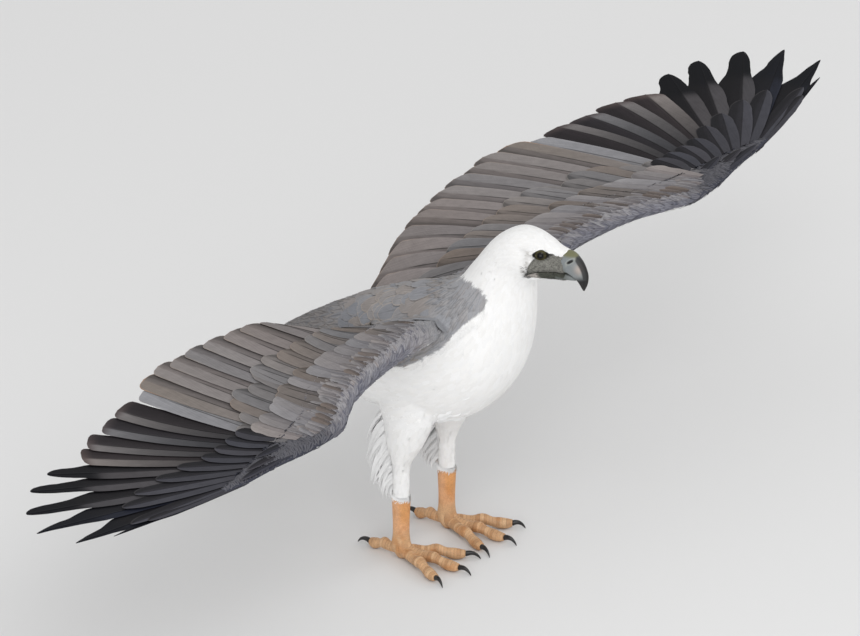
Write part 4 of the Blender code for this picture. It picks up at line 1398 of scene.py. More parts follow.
@dataclass
class Coat:
    """Small feathers over the whole skin, tract by tract.

    Attributes:
        skin: What they grow on.
        chance: The random draws.
        tries: Places tried for each feather that there is room for.
        bare_limit: How bare the skin may be where they grow.
        softness, white_softness: How much grey and white ones take their light from the skin's normals.
        thick: Thickness of a feather along its middle.
        tuck: How far the tips of sleek feathers dip under the next.
    """

    skin: Skin
    chance: np.random.Generator = field(default_factory=lambda: np.random.default_rng(SEED))
    tries: int = 9
    bare_limit: float = 0.35
    softness: float = 0.78
    white_softness: float = 0.9
    thick: float = 0.12 * MM
    tuck: float = 0.5 * MM

    def zones(self, places: Array, normals: Array) -> Array:
        """The tract of each place, as its index among the zones.

        Args:
            places: Places of the part's frame.
            normals: The skin's normals there.

        Returns:
            The indices.
        """
        out, ahead, up = measures(places)
        inside = inside_back(ahead, up)
        slate = inside > -1 * MM
        upper = (up > 0.452) | (ahead > 0.112) | (inside < 0.022)
        neck = ((ahead - 0.075) * 0.078 + (up - 0.481) * 0.115) / 0.139
        head = ((ahead - 0.126) * 0.052 + (up - 0.551) * 0.073) / 0.0896
        leg = (np.abs(out - 0.055) < 0.045) & (np.abs(ahead - 0.003) < 0.075)
        arm, top = out > 0.098, Skin.on_top(out, ahead, up)
        layers = (
            (Zone.BREAST, (ahead - 0.01) + (up - 0.35) * 0.2 > 0.05),
            (Zone.UNDERTAIL, (ahead < -0.175) & (normals[:, 2] < 0.1)),
            (Zone.SCAPULAR, slate),
            (Zone.MANTLE, slate & upper),
            (Zone.RUMP, slate & (ahead < -0.075)),
            (Zone.NECK, (neck > 0) & ~slate),
            (Zone.HEAD, head > 0),
            (Zone.THIGH, leg & (up < 0.232)),
            (Zone.SHIN, leg & (up < 0.172)),
            (Zone.ARM_TOP, arm & top),
            (Zone.ARM_UNDER, arm & ~top),
        )
        order = list(Zone)
        found = np.full(len(places), order.index(Zone.BELLY))
        for kind, mask in layers:
            found[mask] = order.index(kind)
        return found

    def on_spine(self, places: Array) -> Array:
        """The index of the spine's section that lies nearest."""
        return ((places[:, None, 1:] - self.skin.spine[None, :, 1:]) ** 2).sum(-1).argmin(1)

    def lie(self, places: Array, normals: Array) -> Array:
        """The direction in which the feathers point, along the skin.

        Args:
            places: Places of the part's frame.
            normals: The skin's normals there.

        Returns:
            The directions.
        """
        spine, nearest = self.skin.spine, self.on_spine(places)
        flow = unit(spine[np.maximum(nearest - 3, 0)] - spine[np.minimum(nearest + 3, len(spine) - 1)])
        tail = np.array([0, math.cos(self.skin.tail_slope), -math.sin(self.skin.tail_slope)])
        flow = np.where((places[:, 1] > ANKLE_Y + 0.262)[:, None], tail, flow)
        out, ahead, up = measures(places)
        leg = (np.abs(out - 0.055) < 0.05) & (np.abs(ahead - 0.003) < 0.08)
        down = smooth(0.262, 0.215, up) * leg
        flow = blend(flow, np.array([0, 0.18, -1.0]), down)
        lean = np.radians(curve(WING.lean, out)) + 0.25
        back = np.stack([-np.sign(places[:, 0]) * np.sin(lean), np.cos(lean), np.zeros(len(out))], axis=-1)
        flow = blend(flow, back, smooth(0.075, 0.115, out))
        along = flow - normals * (flow * normals).sum(-1, keepdims=True)
        weak = np.linalg.norm(along, axis=-1) < 0.2
        upright = np.where(normals[:, 2] >= 0, 1.0, -1.0)[:, None] * UP
        along[weak] = (upright - normals * (upright * normals).sum(-1, keepdims=True))[weak]
        return unit(along)

    @staticmethod
    def seeds(places: Array, spacing: float) -> Array:
        """Picks places at least a spacing apart, in their given order, and gives their indices.

        Args:
            places: Places of the part's frame.
            spacing: The least distance.

        Returns:
            The indices of those that are picked.
        """
        taken: dict[tuple[int, int, int], list[tuple[float, float, float]]] = {}
        steps = list(product((-1, 0, 1), repeat=3))
        cells = np.floor(places / spacing).astype(int).tolist()
        chosen = []
        for index, ((a, b, c), (x, y, z)) in enumerate(zip(cells, places.tolist())):
            near = (spot for i, j, k in steps for spot in taken.get((a + i, b + j, c + k), ()))
            if all((p - x) ** 2 + (q - y) ** 2 + (r - z) ** 2 >= spacing**2 for p, q, r in near):
                taken.setdefault((a, b, c), []).append((x, y, z))
                chosen.append(index)
        return np.array(chosen, dtype=int)

    def trace(self, roots: Array, heading: Array, lengths: Array, shares: Array) -> tuple[Array, Array]:
        """Follows the skin from each root.

        Args:
            roots: Where the feathers grow.
            heading: The way each one points.
            lengths: Their lengths.
            shares: The rows' shares of the length, from 0.

        Returns:
            The rows' places on the skin and the normals there.
        """
        places = np.empty((len(roots), len(shares), 3))
        normals = np.empty_like(places)
        for n, length in enumerate(lengths.tolist()):
            spot, way, last = Vector(roots[n]), Vector(heading[n]), 0.0
            for r, share in enumerate(shares):
                found, _, face, _ = self.skin.tree.find_nearest(spot + way * float(share - last) * length)
                normal, step = Vector(self.skin.facing[face]), found - spot
                if r and step.length > 1e-6:
                    way = way * 0.35 + step.normalized() * 0.65
                    way = (way - normal * way.dot(normal)).normalized()
                spot, last = found, share
                places[n, r], normals[n, r] = found, normal
        return places, normals

    def bake_spots(self, roots: Array, normals: Array) -> Array:
        """Each root's place on an unwrap of the skin, round trunk and legs and over and under the arms.

        Args:
            roots: Where the feathers grow.
            normals: The skin's normals there.

        Returns:
            The places on the map.
        """
        out, ahead, up = roots[:, 0], ANKLE_Y - roots[:, 1], roots[:, 2]
        nearest = self.on_spine(roots)
        away = roots - self.skin.spine[nearest]
        turn = np.arctan2(out, away[:, 2] + away[:, 1] * 0.3)
        trunk = (0.02 + 0.46 * nearest / len(self.skin.spine), 0.02 + 0.46 * (turn / (2 * np.pi) + 0.5))
        round_leg = np.arctan2(ahead, np.abs(out) - 0.057) / (2 * np.pi) + 0.5
        legs = (0.52 + 0.22 * round_leg + 0.24 * (out > 0), 0.02 + 0.46 * np.clip((up - 0.09) / 0.16, 0, 1))
        chord = 0.52 + 0.22 * np.clip((ahead + 0.06) / 0.26, 0, 1) + 0.24 * (normals[:, 2] < 0)
        arms = (0.02 + 0.96 * np.clip((out + 0.72) / 1.44, 0, 1), chord)
        on_leg, on_arm = (up < 0.235) & (np.abs(ahead) < 0.09), np.abs(out) > 0.098
        spots = [np.where(on_leg, leg, body) for leg, body in zip(legs, trunk)]
        return np.stack([np.where(on_arm, arm, spot) for arm, spot in zip(arms, spots)], axis=-1)

    def plumes(self, tract: Tract, roots: Array, normals: Array) -> Plumes:
        """The feathers of one tract.

        Args:
            tract: Their sizes.
            roots: Where they grow on the skin.
            normals: The skin's normals there.

        Returns:
            The feathers, ready to be made a mesh.
        """
        count = len(roots)
        shares = np.linspace(0, 1, tract.rows) ** 0.85
        turn = np.radians(self.chance.normal(0, tract.turn, count))
        lie = self.lie(roots, normals)
        heading = lie * np.cos(turn)[:, None] + np.cross(lie, normals) * np.sin(turn)[:, None]
        lengths = tract.length * self.chance.uniform(0.85, 1.15, count)
        spots, ups = self.trace(roots, heading, lengths, shares)
        for _ in range(2):
            spots[:, 1:-1] = (spots[:, :-2] + 2 * spots[:, 1:-1] + spots[:, 2:]) / 4
        run = unit(np.gradient(spots, axis=1))
        run = unit(run + 1.5 * run.mean(axis=1, keepdims=True))
        across = unit(np.cross(run, ups))
        peak = 0.5 if tract.pointed else 0.66
        body = np.where(shares < peak, 0.38 + 0.62 * np.sin(shares / peak * np.pi / 2), 1.0)
        past = np.clip((shares - peak) / (1 - peak), 0, 1)
        tip = 1 - past**1.4 if tract.pointed else np.sqrt(1 - past**2)
        wide = np.where(shares > peak, np.clip(tip, 0.06, 1), body)
        width = tract.half_width * self.chance.uniform(0.85, 1.15, count)
        u = np.linspace(-1, 1, tract.columns)
        away = u[None, None, :] * width[:, None, None] * wide[None, :, None]
        roll = self.chance.normal(0, 0.012, count)
        lift = tract.low + (tract.high - tract.low) * shares**1.15
        if tract.sleek:
            lift = tract.low + tract.high * np.sin(np.pi * shares) ** 0.8 - self.tuck * shares**4
        lift = lift[None, :, None] * self.chance.uniform(0.92, 1.03, count)[:, None, None]
        lift = lift - tract.camber * np.abs(away) * np.abs(u)[None, None, :] + away * roll[:, None, None]
        over = ups[:, :, None]
        top = spots[:, :, None] + across[:, :, None] * away[..., None] + over * lift[..., None]
        depth = -over * (self.thick * (1 - u**2))[:, None]
        rough = self.chance.random(count)
        whole = top.shape[:3]
        at_points = self.skin.tints(top.reshape(-1, 3), np.repeat(rough, whole[1] * whole[2]))
        at_points = at_points.reshape(*whole, 3)
        at_middle = self.skin.tints(spots[:, tract.rows * 2 // 3], rough)
        out, ahead, _ = measures(roots)
        tint = np.where((out > 0.09)[:, None, None, None], at_middle[:, None, None], at_points)
        tint = tint * self.chance.uniform(0.97, 1.02, count)[:, None, None, None]
        along = lengths[:, None] * shares[None]
        to_side = (1 - np.abs(u))[None, None] * (width[:, None] * wide)[..., None]
        edge = np.minimum(to_side, (along[:, -1:] - along)[..., None])
        grey = 1 - smooth(0.3, 0.5, tint.mean(-1).max(axis=(1, 2)))
        if tract == Zone.SCAPULAR.value:
            middle = np.exp(-(((ahead + 0.005) / 0.042) ** 2)) * smooth(0.01, 0.03, out)
            grey = grey * (0.12 + 0.88 * middle)
        own = unit(np.cross(np.gradient(top, axis=1), np.gradient(top, axis=2)))
        own = own * np.where((own * over).sum(-1, keepdims=True) < 0, -1.0, 1.0)
        soft = self.softness if tract.hem else self.white_softness
        return Plumes(
            top, depth, away, along, edge, tint, np.tile(tract.trim.value, (count, 1)), tract.hem * grey,
            np.repeat(tract.quill * grey[:, None], tract.rows, axis=1),
            self.bake_spots(roots, normals)[:, None, None] + bake_patch(u, shares)[None],
            facing=unit(own * (1 - soft) + over * soft),
        )

    @staticmethod
    def clear_of_eyes(plumes: Plumes) -> Plumes:
        """Leaves out the feathers that would lie over an eye or its lids.

        Args:
            plumes: The feathers.

        Returns:
            Those that stay.
        """
        crossing = np.zeros(len(plumes.top), dtype=bool)
        for side in SIDES:
            ahead, rise, out = EYE.offsets(side, plumes.top)
            near = np.hypot(ahead / 0.013, (rise + EYE.slant * ahead) / 0.0052) < 1
            crossing |= (near & (out > 0)).any(axis=(1, 2))
        values = {name: value for name, value in vars(plumes).items() if value is not None}
        return Plumes(**{name: value[~crossing] for name, value in values.items()})

    def publish(self, shop: Workshop) -> None:
        """Grows and hands in every tract.

        Args:
            shop: Where the pieces are handed in.
        """
        mesh = self.skin.mesh
        mesh.calc_loop_triangles()
        corners = np.empty(len(mesh.loop_triangles) * 3, dtype=np.int32)
        mesh.loop_triangles.foreach_get("vertices", corners)
        corners = corners.reshape(-1, 3)
        places, normals = points_of(mesh), normals_of(mesh)
        a, b, c = (places[corners[:, k]] for k in range(3))
        area = np.linalg.norm(np.cross(b - a, c - a), axis=-1) / 2
        middle_normals = unit(normals[corners].sum(1))
        zone = self.zones((a + b + c) / 3, middle_normals)
        for index, kind in enumerate(Zone):
            tract = kind.value
            own = np.nonzero(zone == index)[0]
            wanted = int(area[own].sum() / tract.spacing**2 * self.tries)
            pick = self.chance.choice(own, wanted, p=area[own] / area[own].sum())
            mix = self.chance.random((wanted, 2))
            mix[mix.sum(1) > 1] = 1 - mix[mix.sum(1) > 1]
            spots = a[pick] + (b - a)[pick] * mix[:, :1] + (c - a)[pick] * mix[:, 1:]
            keep = self.skin.bareness(spots) < self.bare_limit
            spots, facing = spots[keep], middle_normals[pick][keep]
            chosen = self.seeds(spots, tract.spacing)
            batch = self.clear_of_eyes(self.plumes(tract, spots[chosen], facing[chosen]))
            slot, finish = (Slot.WING, WING_FINISH) if tract.hem else (Slot.WHITE, WHITE_FINISH)
            shop.publish(tract.name, batch.build(tract.name), finish, slot)


@dataclass(frozen=True)
class VaneLook:
    """Colours of a large feather from its root to its tip, as display values.

    Attributes:
        inner, inner_tip: The vane on the body's side.
        outer, outer_tip: The vane on the wing tip's side.
        end: The colour of the very tip.
        end_from: Where along the feather that colour starts.
        below: The underside.
        quill: How strongly the quill shows.
        quill_to: Where along the feather the quill fades.
        hem: How strongly the edge shows.
        trim: The edge's colour.
        overlap_shade: How much painted shade darkens it beside the next feather's edge, which lies over it.
        lit: How much lighter its outer edge is, as a painted sheen.
        late: How late along the feather its outer vane takes its tip's colour.
    """

    inner: Shown
    inner_tip: Shown
    outer: Shown
    outer_tip: Shown
    end: Shown
    end_from: float = 1.1
    below: Shown = (96, 93, 94)
    quill: float = 0.9
    quill_to: float = 0.9
    hem: float = 0.5
    trim: Shown = (190, 180, 170)
    overlap_shade: float = 0.42
    lit: float = 0.1
    late: float = 1.0

    def tints(self, shares: Array, u: Array, factor: Array) -> Array:
        """The colours over rows and columns, with painted shade beside the next feather and a painted sheen
        on the outer edge, all changed by a factor for each channel.

        Args:
            shares: The rows' shares of the length.
            u: The columns, from -1 to 1.
            factor: The factor for each channel.

        Returns:
            The colours.
        """
        inner = blend(shade(*self.inner), shade(*self.inner_tip), shares)
        outer = blend(shade(*self.outer), shade(*self.outer_tip), shares**self.late)
        across = np.broadcast_to(smooth(-0.08, 0.14, u)[None], (len(shares), len(u)))
        colour = blend(inner[:, None], outer[:, None], across)
        tip = smooth(self.end_from - 0.03, self.end_from + 0.05, shares)
        colour = blend(colour, shade(*self.end), np.broadcast_to(tip[:, None], colour.shape[:2]))
        # Painted shade on the inner vane, beside the edge of the next feather that lies over it
        overlap_shade = smooth(-0.2, -0.5, u) * self.overlap_shade
        # Painted sheen along the outer edge, fading before the tip
        edge = smooth(0.7, 1.0, u) * smooth(0.95, 0.8, shares)[:, None] * self.lit
        return colour * (1 - overlap_shade[None] + edge)[..., None] * factor


@dataclass(frozen=True)
class VaneShape:
    """Outline of a large feather.

    Attributes:
        table: Its width against its length.
        round_from: Where its rounded tip starts.
        fray: How uneven its edges are.
        squareness: 2 for a round tip, more for a squarer one.
    """

    table: Table
    round_from: float
    fray: float = 0.012
    squareness: float = 2.0

    def widths(self, shares: Array) -> Array:
        """Share of the full width at each share of the length.

        Args:
            shares: The rows' shares of the length.

        Returns:
            The shares of the width.
        """
        tip = np.clip((shares - self.round_from) / (1 - self.round_from), 0, 1)
        power = self.squareness
        return curve(self.table, shares) * np.maximum(1 - tip**power, 0.002) ** (1 / power)


class Outline(Enum):
    """The outlines of the wing's and the tail's large feathers."""

    BLUNT = VaneShape(((0.0, 0.3), (0.3, 0.75), (0.6, 1.0), (1.0, 1.0)), 0.948, 0.012, 2.4)
    COVERT = VaneShape(((0.0, 0.55), (0.5, 1.0), (1.0, 0.96)), 0.8, 0.03)
    LANCE = VaneShape(((0.0, 0.55), (0.45, 1.0), (0.85, 0.85), (1.0, 0.6)), 0.86, 0.02)
    SLENDER = VaneShape(((0.0, 0.55), (0.4, 1.0), (0.8, 0.8), (1.0, 0.45)), 0.88)
    RECTRIX = VaneShape(((0.0, 0.45), (0.3, 0.85), (0.7, 1.0), (1.0, 0.95)), 0.88)


def finger(notch: float, point: float) -> VaneShape:
    """The outline of a primary that narrows at a share of its length to a width near its point.

    Args:
        notch: Where it narrows.
        point: Its width near the point.

    Returns:
        The outline.
    """
    table = (
        (0.0, 0.3), (0.3, 0.8), (0.55, 1.0), (notch - 0.06, 1.0), (notch + 0.03, 0.52 + 0.4 * point),
        (notch + 0.09, 0.36 + 0.5 * point), (0.96, point), (1.0, point * 0.85),
    )
    return VaneShape(table, 0.88, 0.06, 2.0)


@dataclass
class LargeVanes:
    """Gathers large feathers, each with a strip of its own on the bake map."""

    side: int
    chance: np.random.Generator
    rows: int = 30
    columns: tuple[float, ...] = (
        -1.0, -0.84, -0.62, -0.46, -0.3, -0.12, -0.035, 0.0, 0.035, 0.12, 0.3, 0.52, 0.76, 0.92, 1.0
    )
    thick: float = 0.5 * MM
    found: dict[str, list] = field(default_factory=dict)

    def shares(self) -> Array:
        """The rows' places along a feather, closer near its tip."""
        return 1 - (1 - np.linspace(0, 1, self.rows)) ** 1.5

    def u(self) -> Array:
        """The columns' places across a feather, from -1 to 1."""
        return np.array(self.columns)

    def away(self, shape: VaneShape, inner: float, outer: float) -> Array:
        """Distances across from the quill, with slightly frayed edges.

        Args:
            shape: The feather's outline.
            inner: Width of its inner vane.
            outer: Width of its outer vane.

        Returns:
            The distances, by row and column.
        """
        shares, u = self.shares(), self.u()
        fray = 1 - shape.fray * self.chance.random((self.rows, 2)) * smooth(0.3, 0.6, shares)[:, None]
        edges = np.where(u[None] < 0, inner * fray[:, :1], outer * fray[:, 1:])
        return u[None] * edges * shape.widths(shares)[:, None]

    def relief(self) -> Array:
        """How far the quill stands out and the edges droop, across the columns.

        Returns:
            The heights.
        """
        u = self.u()
        beside = np.abs(np.abs(u) - 0.035) < 0.01
        return 0.55 * MM * (np.abs(u) < 0.02) + 0.25 * MM * beside - 0.5 * MM * u**2

    def add(self, top: Array, up: Array, away: Array, length: float, look: VaneLook) -> None:
        """Adds one feather.

        Args:
            top: Its upper face.
            up: The way its upper face looks.
            away: Distances across from its quill.
            length: Its length.
            look: Its colours.
        """
        shares, u = self.shares(), self.u()
        along = shares * length
        side_rim = (1 - np.abs(u))[None] * np.abs(away).max(1, keepdims=True)
        side_rim = side_rim + 2.2 * MM * (1 - smooth(0.7, 0.97, shares))[:, None]
        warmth = float(self.chance.normal(0, 0.022))
        factor = float(self.chance.uniform(0.86, 1.06)) * np.array([1 + warmth, 1.0, 1 - warmth])
        bulk = self.thick * (1 - u**2) + 0.5 * MM * (np.abs(u) < 0.04)
        grids = {
            "top": top, "depth": -np.broadcast_to(up, top.shape) * bulk[None, :, None], "across": away,
            "rim": np.minimum(side_rim, (length - along)[:, None]), "tint": look.tints(shares, u, factor),
            "below": np.broadcast_to(np.array(shade(*look.below)) * factor, top.shape),
        }
        values = {key: grid[:, ::-1] if self.side < 0 else grid for key, grid in grids.items()}
        values |= {"along": along, "trim": np.array(shade(*look.trim)), "hem": np.array(look.hem)}
        values["quill"] = look.quill * smooth(look.quill_to + 0.08, look.quill_to - 0.08, shares)
        for key, value in values.items():
            self.found.setdefault(key, []).append(value)

    def plumes(self) -> Plumes:
        """The feathers, ready to be made a mesh.

        Returns:
            The feathers.
        """
        arrays = {key: np.stack(values) for key, values in self.found.items()}
        count = len(arrays["top"])
        strip = 0.01 + 0.98 * (np.arange(count)[:, None] + 0.06 + 0.88 * ((self.u() + 1) / 2)[None]) / count
        far = 0.01 + 0.98 * arrays["along"][:, :, None] / arrays["along"].max()
        return Plumes(bake=np.stack(np.broadcast_arrays(strip[:, None], far), axis=-1), **arrays)


class Level(Enum):
    """The surfaces of the wing that feathers lie on."""

    MIDDLE = "middle"
    OVER = "over"
    UNDER = "under"


@dataclass(frozen=True)
class Wing:
    """The large feathers of one spread wing, laid on its surfaces in tiers."""

    side: int
    primary_roots: tuple[Table, Table] = (
        ((1, 0.528), (5, 0.606), (8, 0.64), (10, 0.658)), ((1, 0.112), (5, 0.13), (10, 0.146)),
    )
    primary_tips: tuple[tuple[Pair, float, float, float], ...] = (
        ((0.565, -0.162), 0.038, 0.021, 0.06), ((0.622, -0.148), 0.038, 0.022, 0.045),
        ((0.682, -0.134), 0.038, 0.021, 0.03), ((0.728, -0.11), 0.038, 0.024, 0.015),
        ((0.803, -0.118), 0.036, 0.022, 0.0), ((0.864, -0.104), 0.037, 0.021, 0.0),
        ((0.928, -0.064), 0.04, 0.02, 0.0), ((0.968, -0.015), 0.034, 0.016, 0.0),
        ((0.965, 0.055), 0.033, 0.016, 0.0), ((0.914, 0.089), 0.02, 0.007, 0.0),
    )
    notches: tuple[float, ...] = (0.81, 0.74, 0.72, 0.77, 0.75, 0.62)
    points: tuple[float, ...] = (0.58, 0.56, 0.52, 0.26, 0.22, 0.18)
    blunt_primaries: int = 4
    covert_reach: Table = ((1, 0.26), (4, 0.34), (7, 0.52), (10, 0.74))
    secondary_outs: tuple[float, ...] = tuple(0.504 - 0.0418 * k for k in range(9))
    tertial_outs: tuple[float, ...] = (0.1386, 0.1076, 0.0766)
    secondary_tips: Table = (
        (0.06, -0.152), (0.09, -0.163), (0.194, -0.1775), (0.246, -0.18), (0.3, -0.19),
        (0.41, -0.192), (0.461, -0.184), (0.504, -0.16),
    )
    greater_tips: Table = (
        (0.08, -0.09), (0.15, -0.07), (0.225, -0.063), (0.36, -0.063), (0.393, -0.038), (0.435, -0.027),
        (0.458, -0.018), (0.495, 0.022), (0.52, 0.03),
    )
    median_tips: Table = ((0.1, 0.018), (0.36, 0.018), (0.45, 0.045), (0.52, 0.062), (0.6, 0.09))
    alula: tuple[tuple[Pair, Pair], ...] = (
        ((0.48, 0.15), (0.6, 0.122)), ((0.485, 0.157), (0.64, 0.134)), ((0.49, 0.164), (0.668, 0.144)),
    )
    stack: float = 0.9 * MM
    tip_slant: float = 0.33
    small_rows: tuple[Triple, ...] = (
        (0.0145, 0.027, 0.0105), (0.0125, 0.024, 0.0092), (0.0108, 0.021, 0.008),
    )

    def lay(
        self, vanes: LargeVanes, ends: tuple[Pair, Pair], bow: float, widths: Pair, shape: VaneShape,
        look: VaneLook, lift: Pair, level: Level, jitter: float = 0.0,
    ) -> None:
        """Lays one feather on a surface of the wing.

        Args:
            vanes: Where it is gathered.
            ends: Its root and its tip, as out and ahead.
            bow: How far it is bent, as a share of its length.
            widths: Widths of its inner and its outer vane.
            shape: Its outline.
            look: Its colours.
            lift: Its height over the surface at root and tip.
            level: The surface that it lies on.
            jitter: How uneven it is among its neighbours.
        """
        (start, end), (low, high), chance = np.array(ends), lift, vanes.chance
        shift = np.array([chance.normal(0, 0.07), chance.normal(0, 0.05)])
        end = end + shift * jitter * np.hypot(*(end - start))
        widths = tuple(width * (1 + 0.1 * jitter * chance.normal()) for width in widths)
        chord = end - start
        bend = (start + end) / 2 + np.array([-chord[1], chord[0]]) * bow * 2
        s = vanes.shares()[:, None]
        spot = start * (1 - s) ** 2 + bend * 2 * s * (1 - s) + end * s**2
        run = unit((bend - start) * (1 - s) + (end - bend) * s)
        across = np.stack([-run[:, 1], run[:, 0]], axis=-1)
        away = vanes.away(shape, *widths)
        plan = spot[:, None] + across[:, None] * away[..., None]
        slant = self.tip_slant * smooth(0.5, 1.0, s) * (1 if level is Level.MIDDLE else 0.4)
        plan = plan - (run * slant)[:, None] * (away + 0.5 * widths[0])[..., None]
        out, ahead = plan[..., 0], plan[..., 1]
        surface = {Level.MIDDLE: WING.height, Level.OVER: WING.over, Level.UNDER: WING.under}[level]
        up = surface(out, ahead) + low + (high - low) * s + WING.tilt * away
        up = up + vanes.relief() * (1 if level is not Level.UNDER else -1)
        vanes.add(world(self.side * out, ahead, up), UP, away, float(np.hypot(*chord)), look)

    def primary_root(self, i: int) -> Pair:
        """Where a primary is rooted, counted from the inmost."""
        return float(curve(self.primary_roots[0], i)), float(curve(self.primary_roots[1], i))

    def along_arm(self, out: float, tip_ahead: float, root_share: float) -> tuple[Pair, Pair]:
        """Ends of a feather rooted at a share of the arm's chord, whose tip lies at a place.

        Args:
            out: How far out its tip lies.
            tip_ahead: How far ahead its tip lies.
            root_share: The share.

        Returns:
            Its root and its tip.
        """
        slope = math.tan(math.radians(float(curve(WING.lean, out))))
        root_out = out + (WING.arm_place(out, root_share) - tip_ahead) * slope
        return (root_out, WING.arm_place(root_out, root_share)), (out, tip_ahead)

    def flight(self, chance: np.random.Generator) -> LargeVanes:
        """Primaries, secondaries and tertials.

        Args:
            chance: The random draws.

        Returns:
            The gathered feathers.
        """
        vanes, blunt_shape = LargeVanes(self.side, chance), Outline.BLUNT.value
        for i, (tip, inner, outer, bow) in enumerate(self.primary_tips, 1):
            blunt, late = i <= self.blunt_primaries, i - self.blunt_primaries - 1
            look = BLUNT_PRIMARY if blunt else FINGER_PRIMARY if i < 8 else OUTER_PRIMARY
            shape = blunt_shape if blunt else finger(self.notches[late], self.points[late])
            ends, lift = (self.primary_root(i), tip), (-self.stack * (i - 1), 0.0)
            self.lay(vanes, ends, bow, (inner, outer), shape, look, lift, Level.MIDDLE)
        for k, out in enumerate(self.secondary_outs + self.tertial_outs):
            ends = self.along_arm(out, float(curve(self.secondary_tips, out)), 0.84)
            look = (SILVER, TAN_SECONDARY)[k] if k < 2 else SECONDARY if k < 6 else INNER_SECONDARY
            self.lay(vanes, ends, 0.0, (0.031, 0.026), blunt_shape, look, (0.0, 0.0), Level.MIDDLE, 0.15)
        return vanes

    def coverts(self, chance: np.random.Generator) -> LargeVanes:
        """The tiers of coverts on the upper side, and the alula.

        Args:
            chance: The random draws.

        Returns:
            The gathered feathers.
        """
        vanes = LargeVanes(self.side, chance, rows=18)
        cover, lance = Outline.COVERT.value, Outline.LANCE.value
        for k in range(15):
            out = 0.518 - 0.03 * k
            ends = self.along_arm(out, float(curve(self.greater_tips, out)), 0.66)
            look = GREATER if chance.random() < 0.7 else GREATER_BROWN
            lift = (0.6 * MM, 2.0 * MM)
            self.lay(vanes, ends, 0.0, (0.027, 0.022), cover, look, lift, Level.OVER, 0.8)
        for i, (tip, _, _, bow) in enumerate(self.primary_tips, 1):
            root, reach = self.primary_root(i), float(curve(self.covert_reach, i))
            widths = ((0.021, 0.017) if i < 5 else (0.023, 0.016)) if i < 9 else (0.017, 0.009)
            drop = self.stack * (i - 1)
            lift = (3.0 * MM - drop, 2.4 * MM - drop * (1 - reach) ** 1.5)
            ends = (root, part_way(root, tip, reach))
            self.lay(vanes, ends, bow, widths, lance, PRIMARY_COVERT, lift, Level.MIDDLE, 0.3)
        for k in range(17):
            out = 0.508 - 0.0252 * k
            ends = self.along_arm(out, float(curve(self.median_tips, out)) - 0.01, 0.46)
            look = MEDIAN if chance.random() < 0.7 else GREATER_BROWN
            lift = (0.8 * MM, 3.0 * MM)
            self.lay(vanes, ends, 0.0, (0.022, 0.019), cover, look, lift, Level.OVER, 1.0)
        for row, (step, reach, size) in enumerate(self.small_rows):
            for k in range(int(0.41 / step)):
                out = 0.5 - step * (k + 0.5 * (row % 2)) + float(chance.normal(0, 0.15)) * step
                back = WING.arm_place(out, 0.66 - 0.11 * row) + float(chance.normal(0, 0.1)) * reach
                ends = ((out + 0.006, back + reach * 0.8), (out, back - reach))
                look = MEDIAN_BROWN if chance.random() < 0.18 else MEDIAN
                shape = cover if chance.random() < 0.4 else lance
                lift = (0.2 * MM, (1.4 + 0.25 * row) * MM)
                self.lay(vanes, ends, 0.0, (size, size * 0.9), shape, look, lift, Level.OVER, 1.6)
        for k, ends in enumerate(self.alula):
            height = 5.0 * MM - self.stack * k
            lift = (height, height - 1 * MM)
            self.lay(vanes, ends, 0.0, (0.012, 0.007), Outline.SLENDER.value, ALULA, lift, Level.MIDDLE)
        return vanes

    def lining(self, chance: np.random.Generator) -> LargeVanes:
        """White coverts under the wing.

        Args:
            chance: The random draws.

        Returns:
            The gathered feathers.
        """
        vanes, cover = LargeVanes(self.side, chance, rows=14), Outline.COVERT.value
        for k in range(20):
            out = 0.53 - 0.023 * k
            ends = self.along_arm(out, float(curve(self.median_tips, out)) - 0.03, 0.5)
            lift = (-1.4 * MM, -2.6 * MM)
            self.lay(vanes, ends, 0.0, (0.017, 0.014), cover, LINING, lift, Level.UNDER)
        for i, (tip, _, _, bow) in enumerate(self.primary_tips[:8], 1):
            root, reach = self.primary_root(i), float(curve(self.covert_reach, i)) * 0.8
            ends, low = (root, part_way(root, tip, reach)), -self.stack * (i - 1) - 3.0 * MM
            self.lay(vanes, ends, bow, (0.018, 0.013), cover, LINING, (low, low + 0.6 * MM), Level.MIDDLE)
        return vanes

    def publish(self, shop: Workshop) -> None:
        """Hands in the wing's large feathers.

        Args:
            shop: Where the pieces are handed in.
        """
        word = WORDS[self.side]
        for kind, build in (("flight", self.flight), ("coverts", self.coverts), ("lining", self.lining)):
            name = f"{kind}_{word}"
            mesh = build(np.random.default_rng(SEED)).plumes().build(name)
            slot, finish = (Slot.WHITE, WHITE_FINISH) if kind == "lining" else (Slot.WING, WING_FINISH)
            shop.publish(name, mesh, finish, slot, f"wing_{word}")


BLUNT_PRIMARY = VaneLook(
    (34, 31, 34), (47, 42, 45), (50, 49, 52), (130, 126, 126), (82, 72, 72), 0.955,
    hem=0.2, trim=(126, 116, 114), overlap_shade=0.25, lit=0.0, late=2.2,
)
FINGER_PRIMARY = VaneLook(
    (32, 29, 32), (14, 14, 19), (76, 74, 77), (70, 68, 71), (10, 11, 17), 0.74,
    quill=0.5, hem=0.0, below=(50, 47, 49), overlap_shade=0.2, lit=0.0,
)
OUTER_PRIMARY = VaneLook(
    (30, 29, 34), (14, 14, 19), (40, 42, 52), (22, 24, 34), (12, 14, 22), 0.7,
    quill=0.5, hem=0.0, below=(50, 47, 49), overlap_shade=0.2, lit=0.25,
)
SILVER = VaneLook(
    (112, 110, 111), (136, 135, 137), (116, 114, 116), (144, 143, 146), (136, 134, 136),
    hem=0.3, trim=(176, 170, 166), quill_to=0.8,
)
